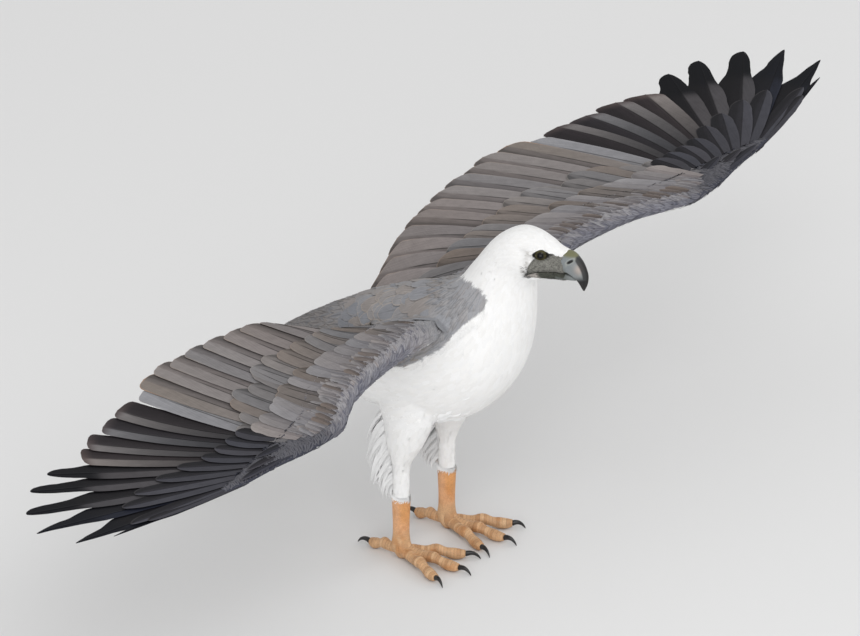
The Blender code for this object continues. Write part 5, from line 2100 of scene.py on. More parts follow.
SECONDARY = VaneLook(
    (104, 98, 98), (118, 111, 109), (126, 121, 121), (139, 133, 131), (131, 124, 120),
    hem=0.45, trim=(158, 144, 132), quill_to=0.72,
)
TAN_SECONDARY = VaneLook(
    (104, 97, 96), (118, 110, 106), (126, 119, 116), (137, 127, 119), (134, 118, 106),
    hem=0.7, trim=(176, 142, 116), quill_to=0.72,
)
INNER_SECONDARY = VaneLook(
    (102, 96, 96), (118, 110, 107), (123, 117, 117), (137, 129, 126), (133, 124, 120),
    hem=0.5, trim=(158, 142, 130), quill_to=0.7,
)
GREATER = VaneLook(
    (98, 96, 98), (114, 111, 111), (112, 110, 112), (126, 123, 123), (120, 116, 114),
    hem=0.4, trim=(156, 149, 143), quill_to=0.85,
)
PRIMARY_COVERT = VaneLook(
    (38, 37, 42), (38, 37, 42), (62, 62, 68), (66, 66, 73), (44, 43, 48),
    quill=0.5, hem=0.2, trim=(100, 97, 98),
)
GREATER_BROWN = VaneLook(
    (96, 90, 89), (116, 108, 103), (108, 102, 100), (126, 117, 111), (124, 113, 105),
    hem=0.5, trim=(154, 138, 126), quill_to=0.85,
)
MEDIAN = VaneLook(
    (116, 112, 115), (134, 130, 131), (127, 123, 125), (143, 139, 139), (140, 135, 135),
    quill=0.2, hem=0.25, trim=(156, 151, 148), quill_to=0.8, overlap_shade=0.26,
)
MEDIAN_BROWN = VaneLook(
    (100, 92, 90), (112, 102, 97), (108, 100, 96), (122, 111, 105), (118, 107, 101),
    quill=0.2, hem=0.25, trim=(150, 138, 130), quill_to=0.8, overlap_shade=0.26,
)
ALULA = VaneLook(
    (44, 44, 50), (46, 46, 53), (56, 56, 64), (60, 60, 68), (50, 50, 56),
    quill=0.5, hem=0.4, trim=(104, 102, 106),
)
LINING = VaneLook(
    (228, 226, 222), (236, 235, 232), (228, 226, 222), (236, 235, 232), (236, 235, 232),
    below=(232, 231, 228), quill=0.0, hem=0.0,
)
RECTRIX = VaneLook(
    (40, 39, 42), (238, 237, 234), (40, 39, 42), (238, 237, 234), (238, 237, 234), 0.4,
    below=(206, 204, 200), quill=0.3, hem=0.0,
)
TAIL_COVERT = VaneLook(
    (104, 103, 106), (120, 118, 120), (104, 103, 106), (120, 118, 120), (124, 121, 121),
    hem=0.6, trim=(176, 168, 162),
)


@dataclass(frozen=True)
class Tail:
    """The short wedge of the tail: twelve feathers and the coverts over their roots."""

    slope: float = math.radians(36)
    length: float = 0.195
    shortening: float = 7.5 * MM
    spread: float = math.radians(2.9)
    stack: float = 1.0 * MM

    def fan(
        self, count: int, length: float, widths: Pair, lift: float, look: VaneLook, start: float
    ) -> LargeVanes:
        """A fan of feathers, each side mirroring the other, the middle ones on top.

        Args:
            count: How many there are.
            length: The middle ones' length.
            widths: Widths of the inner and the outer vane.
            lift: How high the fan lies over the tail's middle.
            look: The feathers' colours.
            start: How far behind the rump's end they start.

        Returns:
            The gathered feathers.
        """
        vanes = LargeVanes(1, np.random.default_rng(SEED + 5), rows=26)
        along = np.array([0, math.cos(self.slope), -math.sin(self.slope)])
        upward = np.array([0, math.sin(self.slope), math.cos(self.slope)])
        root = world(0.0, -0.2584, 0.2635)
        for k in range(count):
            side, pair = (1 if k % 2 == 0 else -1), k // 2
            turn = self.spread * (pair + 0.5) * side * 12 / count
            direction = along * math.cos(turn) + np.array([math.sin(turn), 0, 0])
            across = np.array([math.cos(turn), 0, 0]) - along * math.sin(turn)
            base = root + np.array([side * (0.002 + 0.0035 * pair), 0, 0]) + along * start
            base = base + upward * (self.stack * ((count - 1) / 2 - k) + lift)
            reach = length - self.shortening * pair
            away = vanes.away(Outline.RECTRIX.value, *(widths if side > 0 else widths[::-1]))
            spots = base + direction * (reach * vanes.shares())[:, None]
            top = spots[:, None] + across * away[..., None] + upward * vanes.relief()[None, :, None]
            vanes.add(top, upward, away, reach, look)
        return vanes

    def publish(self, shop: Workshop) -> None:
        """Hands in the tail.

        Args:
            shop: Where the pieces are handed in.
        """
        main = self.fan(12, self.length, (0.021, 0.018), 0.0, RECTRIX, 0.03).plumes()
        shop.publish("tail_feathers", main.build("tail"), WHITE_FINISH, Slot.WHITE, "tail")
        cover = self.fan(8, 0.085, (0.017, 0.015), 7.5 * MM, TAIL_COVERT, 0.018).plumes()
        shop.publish("tail_coverts", cover.build("cover"), WING_FINISH, Slot.WING, "tail")


@dataclass(frozen=True)
class Bill:
    """The hooked upper bill with its cere and nostrils, and the lower bill."""

    upper_rows: Rows = (
        (0.2523, 0.5725, 0.2523, 0.54, 0.015), (0.264, 0.5738, 0.261, 0.5405, 0.0158),
        (0.274, 0.5728, 0.269, 0.54, 0.015), (0.287, 0.565, 0.275, 0.5365, 0.0124),
        (0.2955, 0.5545, 0.2795, 0.533, 0.0095), (0.3005, 0.5415, 0.2835, 0.5285, 0.007),
        (0.2998, 0.5285, 0.287, 0.523, 0.0045), (0.2955, 0.5175, 0.2905, 0.517, 0.0022),
        (0.2935, 0.514, 0.2925, 0.514, 0.0008),
    )
    lower_rows: Rows = (
        (0.2523, 0.539, 0.2523, 0.524, 0.0165), (0.264, 0.5395, 0.264, 0.525, 0.013),
        (0.273, 0.537, 0.273, 0.5262, 0.009), (0.2785, 0.5325, 0.2785, 0.5272, 0.0045),
    )
    nostril: Pair = (0.2752, 0.5622)
    nostril_size: Pair = (0.0046, 0.002)
    nostril_depth: float = 2.2 * MM
    front: Table = ((0.5175, 0.2955), (0.5285, 0.2998), (0.5415, 0.3005), (0.5545, 0.2955), (0.565, 0.287))
    nostril_tilt: float = math.radians(-35)
    cere_step: float = 0.5 * MM
    root: float = 6 * MM

    def surface(self, rows: Rows, flat: int, steps: int, count: int) -> Array:
        """Sections of one half of the bill, which starts a little inside the head.

        Args:
            rows: Ahead and up of its top and of its underside, and half width.
            flat: 1 for a flat underside, -1 for a flat top.
            steps, count: How many sections, and points round each.

        Returns:
            The sections' points.
        """
        table = np.array(rows)
        t = np.linspace(0, len(table) - 1, steps)
        columns = [curve(tuple(enumerate(column)), t) for column in table.T]
        turns = 2 * np.pi * (np.arange(count) + 0.5) / count
        down = np.cos(turns)
        pressed = down * flat < 0
        down = np.where(pressed, np.sign(down) * np.abs(down) ** 0.35, down)
        top, low = world(0.0, columns[0], columns[1]), world(0.0, columns[2], columns[3])
        side = np.sin(turns) * np.where(pressed, 1.0, 1 - 0.3 * np.abs(down) ** 1.5)
        rings = ((top + low) / 2)[:, None] + ((top - low) / 2)[:, None] * down[None, :, None]
        rings[..., 0] += columns[4][:, None] * side[None]
        inside = rings[0] * 0.92 + rings[0].mean(0) * 0.08 + np.array([0, self.root, 0])
        return np.concatenate([inside[None], rings])

    def tints(self, places: Array) -> Array:
        """Olive cere, blue grey horn with a pale patch, and a dark tip and ridge.

        Args:
            places: Places of the part's frame.

        Returns:
            A colour for each place.
        """
        out, ahead, up = measures(places)
        olive = smooth(0.5655, 0.57, up) * smooth(0.285, 0.281, ahead)
        olive = np.maximum(olive, smooth(0.257, 0.254, ahead) * 0.45)
        pale = np.exp(-(((ahead - 0.289) / 0.006) ** 2) - (((up - 0.5515) / 0.0085) ** 2))
        band = smooth(0.0072, 0.0052, curve(self.front, up) - ahead) * smooth(0.572, 0.567, up)
        tip = smooth(0.542, 0.53, up + (0.29 - ahead) * 0.35) * smooth(0.276, 0.284, ahead)
        ridge = smooth(0.005, 0.001, out) * smooth(0.282, 0.292, ahead)
        return layered(
            shade(122, 127, 129),
            (shade(110, 110, 82), olive),
            (shade(98, 102, 96), smooth(0.272, 0.264, ahead) * smooth(0.556, 0.545, up) * 0.6),
            (shade(168, 156, 148), pale * 0.85),
            (shade(30, 29, 30), np.maximum(tip, band * 0.9)),
            (shade(34, 32, 32), ridge * 0.9),
        )

    def publish(self, shop: Workshop) -> None:
        """Hands in both halves.

        Args:
            shop: Where the pieces are handed in.
        """
        mesh = to_mesh([loft(self.surface(self.upper_rows, 1, 110, 72))], "bill_upper")
        places, normals = points_of(mesh), normals_of(mesh)
        _, ahead, up = measures(places)
        a, u = ahead - self.nostril[0], up - self.nostril[1]
        c, s = math.cos(self.nostril_tilt), math.sin(self.nostril_tilt)
        along, over = a * c - u * s, a * s + u * c
        hole = np.exp(-((along / self.nostril_size[0]) ** 4) - ((over / self.nostril_size[1]) ** 4))
        cere_edge = 0.2815 + (0.572 - up) * -0.42
        cere = smooth(cere_edge + 0.0012, cere_edge - 0.0012, ahead) * smooth(0.5365, 0.542, up)
        rim = np.exp(-(((np.hypot(along / 1.9, over)) - 0.0032) / 0.0008) ** 2)
        relief = self.cere_step * cere + 0.3 * MM * rim - self.nostril_depth * hole
        move_points(mesh, places + normals * relief[:, None])
        tint = blend(self.tints(places), shade(168, 170, 160), rim * 0.35)
        # Painted shade: the nostril's dent is painted near black for the depth of the opening
        paint(mesh, "tint", blend(tint, shade(14, 13, 13), smooth(0.25, 0.7, hole)))
        shop.publish("bill_upper_horn", mesh, BillFinish(), Slot.BILL, "bill_upper")
        mesh = to_mesh([loft(self.surface(self.lower_rows, -1, 50, 56))], "bill_lower")
        front = smooth(0.262, 0.276, measures(points_of(mesh))[1])
        paint(mesh, "tint", blend(shade(84, 88, 84), shade(120, 124, 124), front))
        shop.publish("bill_lower_horn", mesh, BillFinish(), Slot.BILL, "bill_lower")


@dataclass(frozen=True)
class Eyes:
    """The eyeballs and their dark lids."""

    lid_length: float = 10.2 * MM
    lid_height: float = 3.2 * MM
    profile: Table = (
        (0.9, -1.6 * MM), (0.97, 0.1 * MM), (1.02, 0.7 * MM), (1.09, 0.9 * MM), (1.17, 0.6 * MM),
        (1.26, -0.2 * MM), (1.34, -1.4 * MM), (1.28, -3.0 * MM), (1.05, -3.2 * MM),
    )
    plane: float = 6.6 * MM

    def ball(self, side: int) -> bpy.types.Mesh:
        """One eyeball, with the angle from its pupil kept on it.

        Args:
            side: 1 for the bird's left, -1 for its right.

        Returns:
            The mesh.
        """
        centre, facing, forward, upward = EYE.frame(side)
        shape = bmesh.new()
        bmesh.ops.create_uvsphere(shape, u_segments=64, v_segments=40, radius=EYE.radius)
        turn = Matrix((forward, upward, np.cross(forward, upward))).transposed().to_4x4()
        bmesh.ops.transform(shape, matrix=Matrix.Translation(Vector(centre)) @ turn, verts=shape.verts)
        bmesh.ops.recalc_face_normals(shape, faces=shape.faces[:])
        mesh = to_mesh([shape], "eye")
        away = unit(points_of(mesh) - centre)
        paint(mesh, "ring", np.degrees(np.arccos(np.clip(away @ facing, -1, 1))) / 90)
        return mesh

    def lids(self, side: int) -> bpy.types.Mesh:
        """The rim of one eye's lids.

        Args:
            side: 1 for the bird's left, -1 for its right.

        Returns:
            The mesh.
        """
        centre, facing, forward, upward = EYE.frame(side)
        turns = np.linspace(0, 2 * np.pi, 73)[:-1]
        cosines, sines = np.cos(turns), np.sin(turns)
        x = self.lid_length * np.sign(cosines) * np.abs(cosines) ** 1.06
        y = self.lid_height * sines * (1 - 0.1 * cosines) - EYE.slant * x
        rings = []
        for k, rise in self.profile:
            flat = np.hypot(x, y) * min(k, 1.1)
            dome = np.sqrt(np.maximum(EYE.radius**2 - np.minimum(flat, EYE.radius * 0.96) ** 2, 0))
            share = float(smooth(1.0, 1.3, k))
            height = dome * (1 - share) + self.plane * share + rise
            height = height + 0.5 * MM * (sines > 0) * sines * (k > 1)
            spread = forward * (x * k)[:, None] + upward * (y * k)[:, None]
            rings.append(centre + spread + facing * height[:, None])
        return to_mesh([loft(rings, closed=True)], "lids")

    def publish(self, shop: Workshop) -> None:
        """Hands in the eyes and lids.

        Args:
            shop: Where the pieces are handed in.
        """
        for side in SIDES:
            word, lids = WORDS[side], self.lids(side)
            shop.publish(f"eyeball_{word}", self.ball(side), EyeFinish(), Slot.EYE, f"eye_{word}")
            paint(lids, "tint", np.tile(Tints.LID.value, (len(lids.vertices), 1)))
            paint(lids, "bare", np.zeros(len(lids.vertices)))
            shop.publish(f"lids_{word}", lids, SkinFinish(), Slot.BILL)


@dataclass
class Locks:
    """Long loose feathers: the trousers behind each thigh and the fringe under the breast."""

    skin: Skin
    chance: np.random.Generator = field(default_factory=lambda: np.random.default_rng(SEED + 9))
    count: int = 340
    rows: int = 9
    half_width: float = 3.6 * MM
    thick: float = 0.2 * MM
    cuff: int = 130
    fringe: int = 150
    tips: tuple[Table, Table] = (
        ((0.0, -0.02), (0.33, -0.044), (0.66, -0.057), (1.0, -0.06)),
        ((0.0, 0.099), (0.33, 0.112), (0.66, 0.138), (1.0, 0.178)),
    )

    def strands(
        self, roots: Array, tips: Array, bulge: Triple, name: str, shop: Workshop, breadth: float = 1.0,
        way: Triple = (0.0, 0.004, 0.008),
    ) -> None:
        """Hands in curved, pointed vanes.

        Args:
            roots, tips: Their ends.
            bulge: How far the middle of each stands off the straight line.
            name: The piece's name.
            shop: Where it is handed in.
            breadth: Their width against the usual one.
            way: What is added to the way that they face, which is sideways.
        """
        count = len(roots)
        s = np.linspace(0, 1, self.rows)[None, :, None]
        middle = (roots + tips) / 2 + np.array(bulge)
        spots = roots[:, None] * (1 - s) ** 2 + middle[:, None] * 2 * s * (1 - s) + tips[:, None] * s**2
        run = unit(np.gradient(spots, axis=1))
        outward = unit((spots - roots.mean(0)) * np.array([4.0, 0.3, 0.0]) + np.array(way))
        across = unit(np.cross(run, outward + self.chance.normal(0, 0.22, (count, 1, 3))))
        ups = unit(np.cross(across, run))
        u = np.array([-1.0, 0.0, 1.0])
        shares = s[0, :, 0]
        wide = np.clip(np.sin(np.pi * np.clip(shares * 0.62 + 0.2, 0, 1)) * (1 - shares**3), 0.05, 1)
        width = self.half_width * breadth * self.chance.uniform(0.6, 1.3, count)
        away = u[None, None] * width[:, None, None] * wide[None, :, None]
        top = spots[:, :, None] + across[:, :, None] * away[..., None]
        depth = -ups[:, :, None] * (self.thick * (1 - u**2))[:, None]
        along = np.linalg.norm(tips - roots, axis=-1)[:, None] * shares[None]
        white = np.array(Tints.WHITE.value) * self.chance.uniform(0.94, 1.0, count)[:, None]
        spot = self.chance.uniform(0.02, 0.98, (count, 1, 1, 2))
        facing = unit(ups * 0.25 + outward * 0.75 + np.array([0, 0, 0.25]))
        vanes = Plumes(
            top, depth, away, along, np.abs(away), white[:, None, None],
            np.tile(Tints.WHITE.value, (count, 1)), np.zeros(count), np.zeros((count, self.rows)),
            spot + bake_patch(u, shares)[None], facing=np.repeat(facing[:, :, None], len(u), axis=2),
        )
        shop.publish(name, vanes.build(name), WHITE_FINISH, Slot.WHITE)

    def trousers(self, side: int, shop: Workshop) -> None:
        """Hands in the long feathers behind one thigh.

        Args:
            side: 1 for the bird's left, -1 for its right.
            shop: Where the pieces are handed in.
        """
        columns = np.array(THIGH_ROWS).T
        count, chance = self.count, self.chance
        t = chance.random(count)
        up = 0.125 + 0.115 * t + chance.normal(0, 0.006, count)
        middle, half, out, wide = (np.interp(up, columns[0], column) for column in columns[1:])
        turn = chance.uniform(-0.8, 0.8, count)
        reach = (wide - 0.005) * np.sin(turn)
        roots = world(side * (out + reach), middle - (half - 0.005) * np.cos(turn), up)
        ahead = curve(self.tips[0], t) * chance.uniform(0.55, 1.0, count) ** 0.6
        ahead += chance.normal(0, 0.003, count)
        low = curve(self.tips[1], t) + chance.normal(0, 0.004, count)
        spread = side * (out + 0.02 * np.sin(turn) * chance.uniform(0.5, 1.1, count))
        tips = world(spread, ahead, low)
        self.strands(roots, tips, (0.0, 0.01, 0.004), f"trousers_{WORDS[side]}", shop)

    def shin_cuff(self, side: int, shop: Workshop) -> None:
        """Hands in the short feathers over the top of one shank.

        Args:
            side: 1 for the bird's left, -1 for its right.
            shop: Where the pieces are handed in.
        """
        turn = self.chance.uniform(0, 2 * np.pi, self.cuff)
        wave = 1 + 0.18 * np.sin(turn * 5)
        roots = world(side * (0.059 + 0.0118 * np.sin(turn)), 0.0131 * np.cos(turn), 0.1055)
        low = 0.1 - 0.005 * self.chance.random(self.cuff) * wave
        turn = turn + 0.1
        tips = world(side * (0.059 + 0.0136 * np.sin(turn)), 0.0149 * np.cos(turn), low)
        self.strands(roots, tips, (0.0, 0.0, 0.0), f"shin_cuff_{WORDS[side]}", shop, 0.6)

    def belly_fringe(self, shop: Workshop) -> None:
        """Hands in the ragged hem under the breast.

        Args:
            shop: Where the pieces are handed in.
        """
        count, chance = self.fringe, self.chance
        x, ahead = chance.uniform(-0.062, 0.062, count), chance.uniform(0.03, 0.125, count)
        roots = []
        for a, b in zip(x, ahead):
            hit = self.skin.tree.ray_cast(Vector(world(a, b, 0.0)), Vector((0, 0, 1)))[0]
            roots.append(tuple(hit) if hit is not None else tuple(world(a, b, 0.25)))
        roots = np.array(roots) + np.array([0, 0, 0.003])
        drop = chance.uniform(0.005, 0.017, count)
        back = chance.uniform(0.014, 0.03, count)
        tips = roots + np.stack([x * 0.06, back, -0.35 * drop - 0.011], axis=-1)
        tips[:, 2] = np.minimum(tips[:, 2], roots[:, 2] - drop)
        self.strands(roots, tips, (0.0, 0.0, -0.002), "belly_fringe", shop, 1.0, (0.0, -0.08, 0.02))

    def publish(self, shop: Workshop) -> None:
        """Hands in the trousers and cuffs of both legs, and the fringe.

        Args:
            shop: Where the pieces are handed in.
        """
        for side in SIDES:
            self.trousers(side, shop)
            self.shin_cuff(side, shop)
        self.belly_fringe(shop)


@dataclass(frozen=True)
class Bristles:
    """Short bristles over the bare lores, longer by the gape, grown by geometry nodes."""

    name: str
    density: float
    length: float
    radius: float
    lean: Triple
    rear_only: bool = False

    def patch(self, skin: Skin) -> bpy.types.Object:
        """The part of the skin that the bristles grow on.

        Args:
            skin: The skin of the bird.

        Returns:
            The patch.
        """
        shape = bmesh.new()
        shape.from_mesh(skin.mesh)
        places = points_of(skin.mesh)
        bare = skin.bareness(places)
        for side in SIDES:
            ahead, rise, out = EYE.offsets(side, places)
            bare = np.where((np.hypot(ahead / 1.35, rise) < 0.0095) & (out > 0), 0.0, bare)
        if self.rear_only:
            _, ahead, up = measures(places)
            bare = bare + 0.4 * smooth(0.204, 0.208, ahead) * smooth(0.219, 0.215, ahead) * (up > 0.524)
            bare = np.where((ahead > 0.219) | (up > 0.548), 0.0, bare)
        lost = [vert for vert, share in zip(shape.verts, bare) if share < 0.35]
        bmesh.ops.delete(shape, geom=lost, context="VERTS")
        return put("lores", to_mesh([shape], "lores"))

    def hair(self) -> bpy.types.Object:
        """One bristle: a thin bent cone along +Z.

        Returns:
            The bristle.
        """
        rings = []
        for share in np.linspace(0, 1, 5):
            size = self.radius * (1 - share) + 0.02 * MM
            centre = np.array([self.length * 0.35 * share**2, 0, self.length * share])
            rings.append(ring(centre, np.array([size, 0, 0]), np.array([0, size, 0]), 4))
        return put("bristle", to_mesh([loft(rings)], "bristle"))

    def group(self, hair: bpy.types.Object, material: bpy.types.Material) -> bpy.types.NodeTree:
        """Nodes that scatter bristles over a mesh and lean them back along the face.

        Args:
            hair: One bristle.
            material: What they are made of.

        Returns:
            The nodes.
        """
        tree = bpy.data.node_groups.new("bristles", "GeometryNodeTree")
        face = tree.interface
        face.new_socket("Geometry", in_out="INPUT", socket_type="NodeSocketGeometry")
        face.new_socket("Density", in_out="INPUT", socket_type="NodeSocketFloat")
        face.new_socket("Seed", in_out="INPUT", socket_type="NodeSocketInt")
        face.new_socket("Geometry", in_out="OUTPUT", socket_type="NodeSocketGeometry")
        make = tree.nodes.new
        start, end = make("NodeGroupInput"), make("NodeGroupOutput")
        scatter = make("GeometryNodeDistributePointsOnFaces")
        place = make("GeometryNodeInstanceOnPoints")
        source = make("GeometryNodeObjectInfo")
        source.inputs["Object"].default_value = hair
        lean = make("ShaderNodeVectorMath")
        lean.operation = "ADD"
        lean.inputs[1].default_value = self.lean
        align = make("FunctionNodeAlignRotationToVector")
        align.axis = "Z"
        size = make("FunctionNodeRandomValue")
        size.data_type = "FLOAT"
        size.inputs[2].default_value, size.inputs[3].default_value = 0.45, 1.2
        real, dress = make("GeometryNodeRealizeInstances"), make("GeometryNodeSetMaterial")
        dress.inputs["Material"].default_value = material
        links = (
            (start, "Geometry", scatter, "Mesh"), (start, "Density", scatter, "Density"),
            (start, "Seed", scatter, "Seed"), (start, "Seed", size, "Seed"),
            (scatter, "Points", place, "Points"), (source, "Geometry", place, "Instance"),
            (scatter, "Normal", lean, 0), (lean, 0, align, "Vector"), (align, 0, place, "Rotation"),
            (size, 1, place, "Scale"), (place, 0, real, 0), (real, 0, dress, "Geometry"),
            (dress, 0, end, "Geometry"),
        )
        for a, output, b, target in links:
            tree.links.new(a.outputs[output], b.inputs[target])
        return tree

    def publish(self, shop: Workshop, skin: Skin) -> None:
        """Hands in the bristles.

        Args:
            shop: Where the pieces are handed in.
            skin: The skin of the bird.
        """
        patch, hair = self.patch(skin), self.hair()
        tree = self.group(hair, shop.finish(ClawFinish()))
        modifier = patch.modifiers.new("bristles", "NODES")
        modifier.node_group = tree
        named = {item.name: item.identifier for item in tree.interface.items_tree if item.in_out == "INPUT"}
        modifier[named["Density"]] = self.density
        modifier[named["Seed"]] = SEED
        graph = bpy.context.evaluated_depsgraph_get()
        mesh = bpy.data.meshes.new_from_object(patch.evaluated_get(graph))
        patch.modifiers.clear()
        bpy.data.objects.remove(patch)
        bpy.data.objects.remove(hair)
        for layer in [a.name for a in mesh.attributes if a.name in ("tint", "bare")]:
            mesh.attributes.remove(mesh.attributes[layer])
        shop.publish(self.name, mesh, ClawFinish(), Slot.BILL)


@dataclass(frozen=True)
class Leg:
    """One bare shank and the foot, with its scutes, pads and claws."""

    side: int
    out: float = 0.059
    shank: tuple[Triple, ...] = (
        (0.024, 0.015, 0.0136), (0.029, 0.0142, 0.013), (0.038, 0.0132, 0.0121), (0.055, 0.013, 0.0118),
        (0.085, 0.014, 0.0128), (0.101, 0.0148, 0.0134),
    )
    sole: tuple[Triple, ...] = (
        (0.029, 0.014, 0.0126), (0.021, 0.0155, 0.0138), (0.012, 0.014, 0.0125), (0.001, 0.007, 0.007),
    )
    toes: tuple[tuple[str, float, float, float], ...] = (
        ("inner", -26.5, 0.097, 0.027), ("middle", 0.0, 0.101, 0.025),
        ("outer", 27.5, 0.099, 0.023), ("hind", 180.0, 0.057, 0.027),
    )
    turn: float = math.radians(4.5)
    toe_up: Table = (
        (0.0, 0.0135), (0.2, 0.013), (0.38, 0.012), (0.52, 0.0142), (0.6, 0.014),
        (0.72, 0.0102), (0.84, 0.0086), (0.94, 0.0084), (1.0, 0.0094),
    )
    toe_size: Table = (
        (0.0, 1.12), (0.2, 1.08), (0.38, 0.98), (0.53, 1.16), (0.68, 0.96), (0.82, 1.12), (0.92, 1.0),
        (1.0, 0.72),
    )
    radius: float = 7.8 * MM
    claw_radius: float = 4.2 * MM
    scute: float = 5.0 * MM
    scute_depth: float = 0.5 * MM
    voxel: float = 0.85 * MM

    def base(self) -> Array:
        """The place on the floor below the ankle."""
        return world(self.side * self.out, 0.0, 0.0)

    def toe_frame(self, degrees: float) -> tuple[Array, Array]:
        """The level directions along and across a toe.

        Args:
            degrees: The way that the toe points.

        Returns:
            The two directions.
        """
        angle = math.radians(degrees) * self.side + (self.turn if abs(degrees) < 90 else 0.0)
        along = np.array([math.sin(angle), -math.cos(angle), 0])
        return along, np.cross(UP, along)

    @staticmethod
    def warp(along: Array) -> Array:
        """Distances along a toe, stretched unevenly so that no two scutes are alike."""
        return along + 0.9 * MM * np.sin(along * 310.0) + 0.6 * MM * np.sin(along * 173.0 + 1.0)

    def plates(self, along: Array) -> Array:
        """Height of the scutes against the distance along, from 0 in the seams to 1."""
        share = np.mod(self.warp(along) / self.scute, 1.0)
        return 1 - np.abs(2 * share - 1) ** 6

    def toe(self, degrees: float, length: float) -> bmesh.types.BMesh:
        """One toe with scutes across its upper side.

        Args:
            degrees: The way that the toe points.
            length: Its length.

        Returns:
            The shape.
        """
        along, across = self.toe_frame(degrees)
        turns = 2 * np.pi * np.arange(28) / 28
        sines, cosines = np.sin(turns), np.cos(turns)
        rings = []
        for share in np.linspace(0, 1, int(length / (0.45 * MM))):
            size = self.radius * float(curve(self.toe_size, share))
            plate = self.plates(np.array(share * length)) * self.scute_depth
            reach = size - self.scute_depth * 0.5 + plate * smooth(-0.3, 0.3, cosines)
            centre = self.base() + along * (length * share) + UP * float(curve(self.toe_up, share))
            spread = across[None] * (sines * reach * 0.96)[:, None]
            rings.append(centre + spread + UP[None] * (cosines * reach)[:, None])
        return loft(rings)

    def webs(self) -> list[bmesh.types.BMesh]:
        """Skin that joins the roots of the front toes.

        Returns:
            The shapes.
        """
        ends = {name: self.toe_frame(degrees)[0] for name, degrees, _, _ in self.toes}
        shapes = []
        for a, b in (("inner", "middle"), ("middle", "outer")):
            way = unit(ends[a] + ends[b])
            across = np.cross(UP, way)
            rings = []
            for share in np.linspace(0, 1, 8):
                centre = self.base() + way * (0.008 + 0.038 * share) + UP * 0.0115
                half, rise = across * (0.0095 + 0.0035 * share), UP * (0.009 - 0.004 * share)
                rings.append(ring(centre, half, rise, 20))
            shapes.append(loft(rings))
        return shapes

    def column(self, rows: tuple[Triple, ...], steps: int, lean: float) -> bmesh.types.BMesh:
        """A loft up the leg through rows of height, half length and half width.

        Args:
            rows: The rows.
            steps: How many sections.
            lean: How far ahead it leans below the ankle.

        Returns:
            The shape.
        """
        heights, lengths, widths = np.array(sorted(rows)).T
        ups = np.linspace(heights[0], heights[-1], steps)
        long, wide = (curve(tuple(zip(heights, sizes)), ups) for sizes in (lengths, widths))
        rings = []
        for up, half_length, half_width in zip(ups, long, wide):
            centre = world(self.side * self.out, lean * (0.028 - up) if up < 0.028 else 0.0, up)
            rings.append(ring(centre, np.array([half_width, 0, 0]), np.array([0, half_length, 0]), 40))
        return loft(rings)

    def tints(self, places: Array) -> Array:
        """Orange tan skin, paler scutes with brown seams, the warmer patch up the shank, and painted shade
        where the foot meets the floor.

        Args:
            places: Places of the part's frame.

        Returns:
            A colour for each place.
        """
        _, ahead, up = measures(places)
        best = np.full(len(places), 9.0)
        bands, tone = np.zeros(len(places)), np.full(len(places), 0.5)
        away = places - self.base()
        for _, degrees, length, _ in self.toes:
            along, across = self.toe_frame(degrees)
            reach, side = away @ along, np.abs(away @ across)
            own = (reach > 0.004) & (side < best)
            best = np.where(own, side, best)
            bands = np.where(own, 1 - self.plates(reach), bands)
            steps = np.floor(self.warp(reach) / self.scute)
            tone = np.where(own, np.mod(np.abs(np.sin(steps * 12.9898 + degrees)) * 43758.5, 1.0), tone)
        low = smooth(0.032, 0.022, up)
        above = smooth(0.004, 0.01, up)
        inner = smooth(0.0, 0.01, ahead) * smooth(0.05, 0.075, up)
        return layered(
            shade(196, 156, 116),
            (shade(212, 160, 118), smooth(0.03, 0.06, up)),
            (shade(200, 136, 62), inner * 0.55),
            (shade(168, 124, 84), smooth(0.55, 1.0, tone) * low * above * 0.7),
            (shade(214, 178, 138), smooth(0.45, 0.0, tone) * low * above * 0.6),
            (shade(128, 90, 58), smooth(0.2, 1.0, bands) * low * above * 0.7),
            # Painted shade on the lowest few millimetres, where the foot meets the floor
            (shade(150, 112, 78), smooth(0.006, 0.001, up) * 0.7),
        )

    def claw(self, degrees: float, length: float, claw_length: float) -> bmesh.types.BMesh:
        """One claw, hooked down until its tip rests on the floor.

        Args:
            degrees: The way that the toe points.
            length: The toe's length.
            claw_length: The claw's own length.

        Returns:
            The shape.
        """
        along, across = self.toe_frame(degrees)
        root = self.base() + UP * 0.0094 + along * (length + 0.0005)
        rings = []
        for share in np.linspace(-0.1, 1, 30):
            s = max(share, 0.0)
            bend = math.radians(-10 + 62 * s) * (s > 0)
            centre = root + along * (claw_length * (share - 0.16 * s**3))
            centre = centre + UP * (0.003 * math.sin(math.pi * s) - 0.0086 * s**1.8)
            size = self.claw_radius * (1 - s) ** 0.7 * (1.0 if share > 0 else 0.8) + 0.25 * MM
            rise = UP * math.cos(bend) + along * math.sin(bend)
            rings.append(ring(centre, across * size * 0.85, rise * size, 20, 0.92))
        return loft(rings)

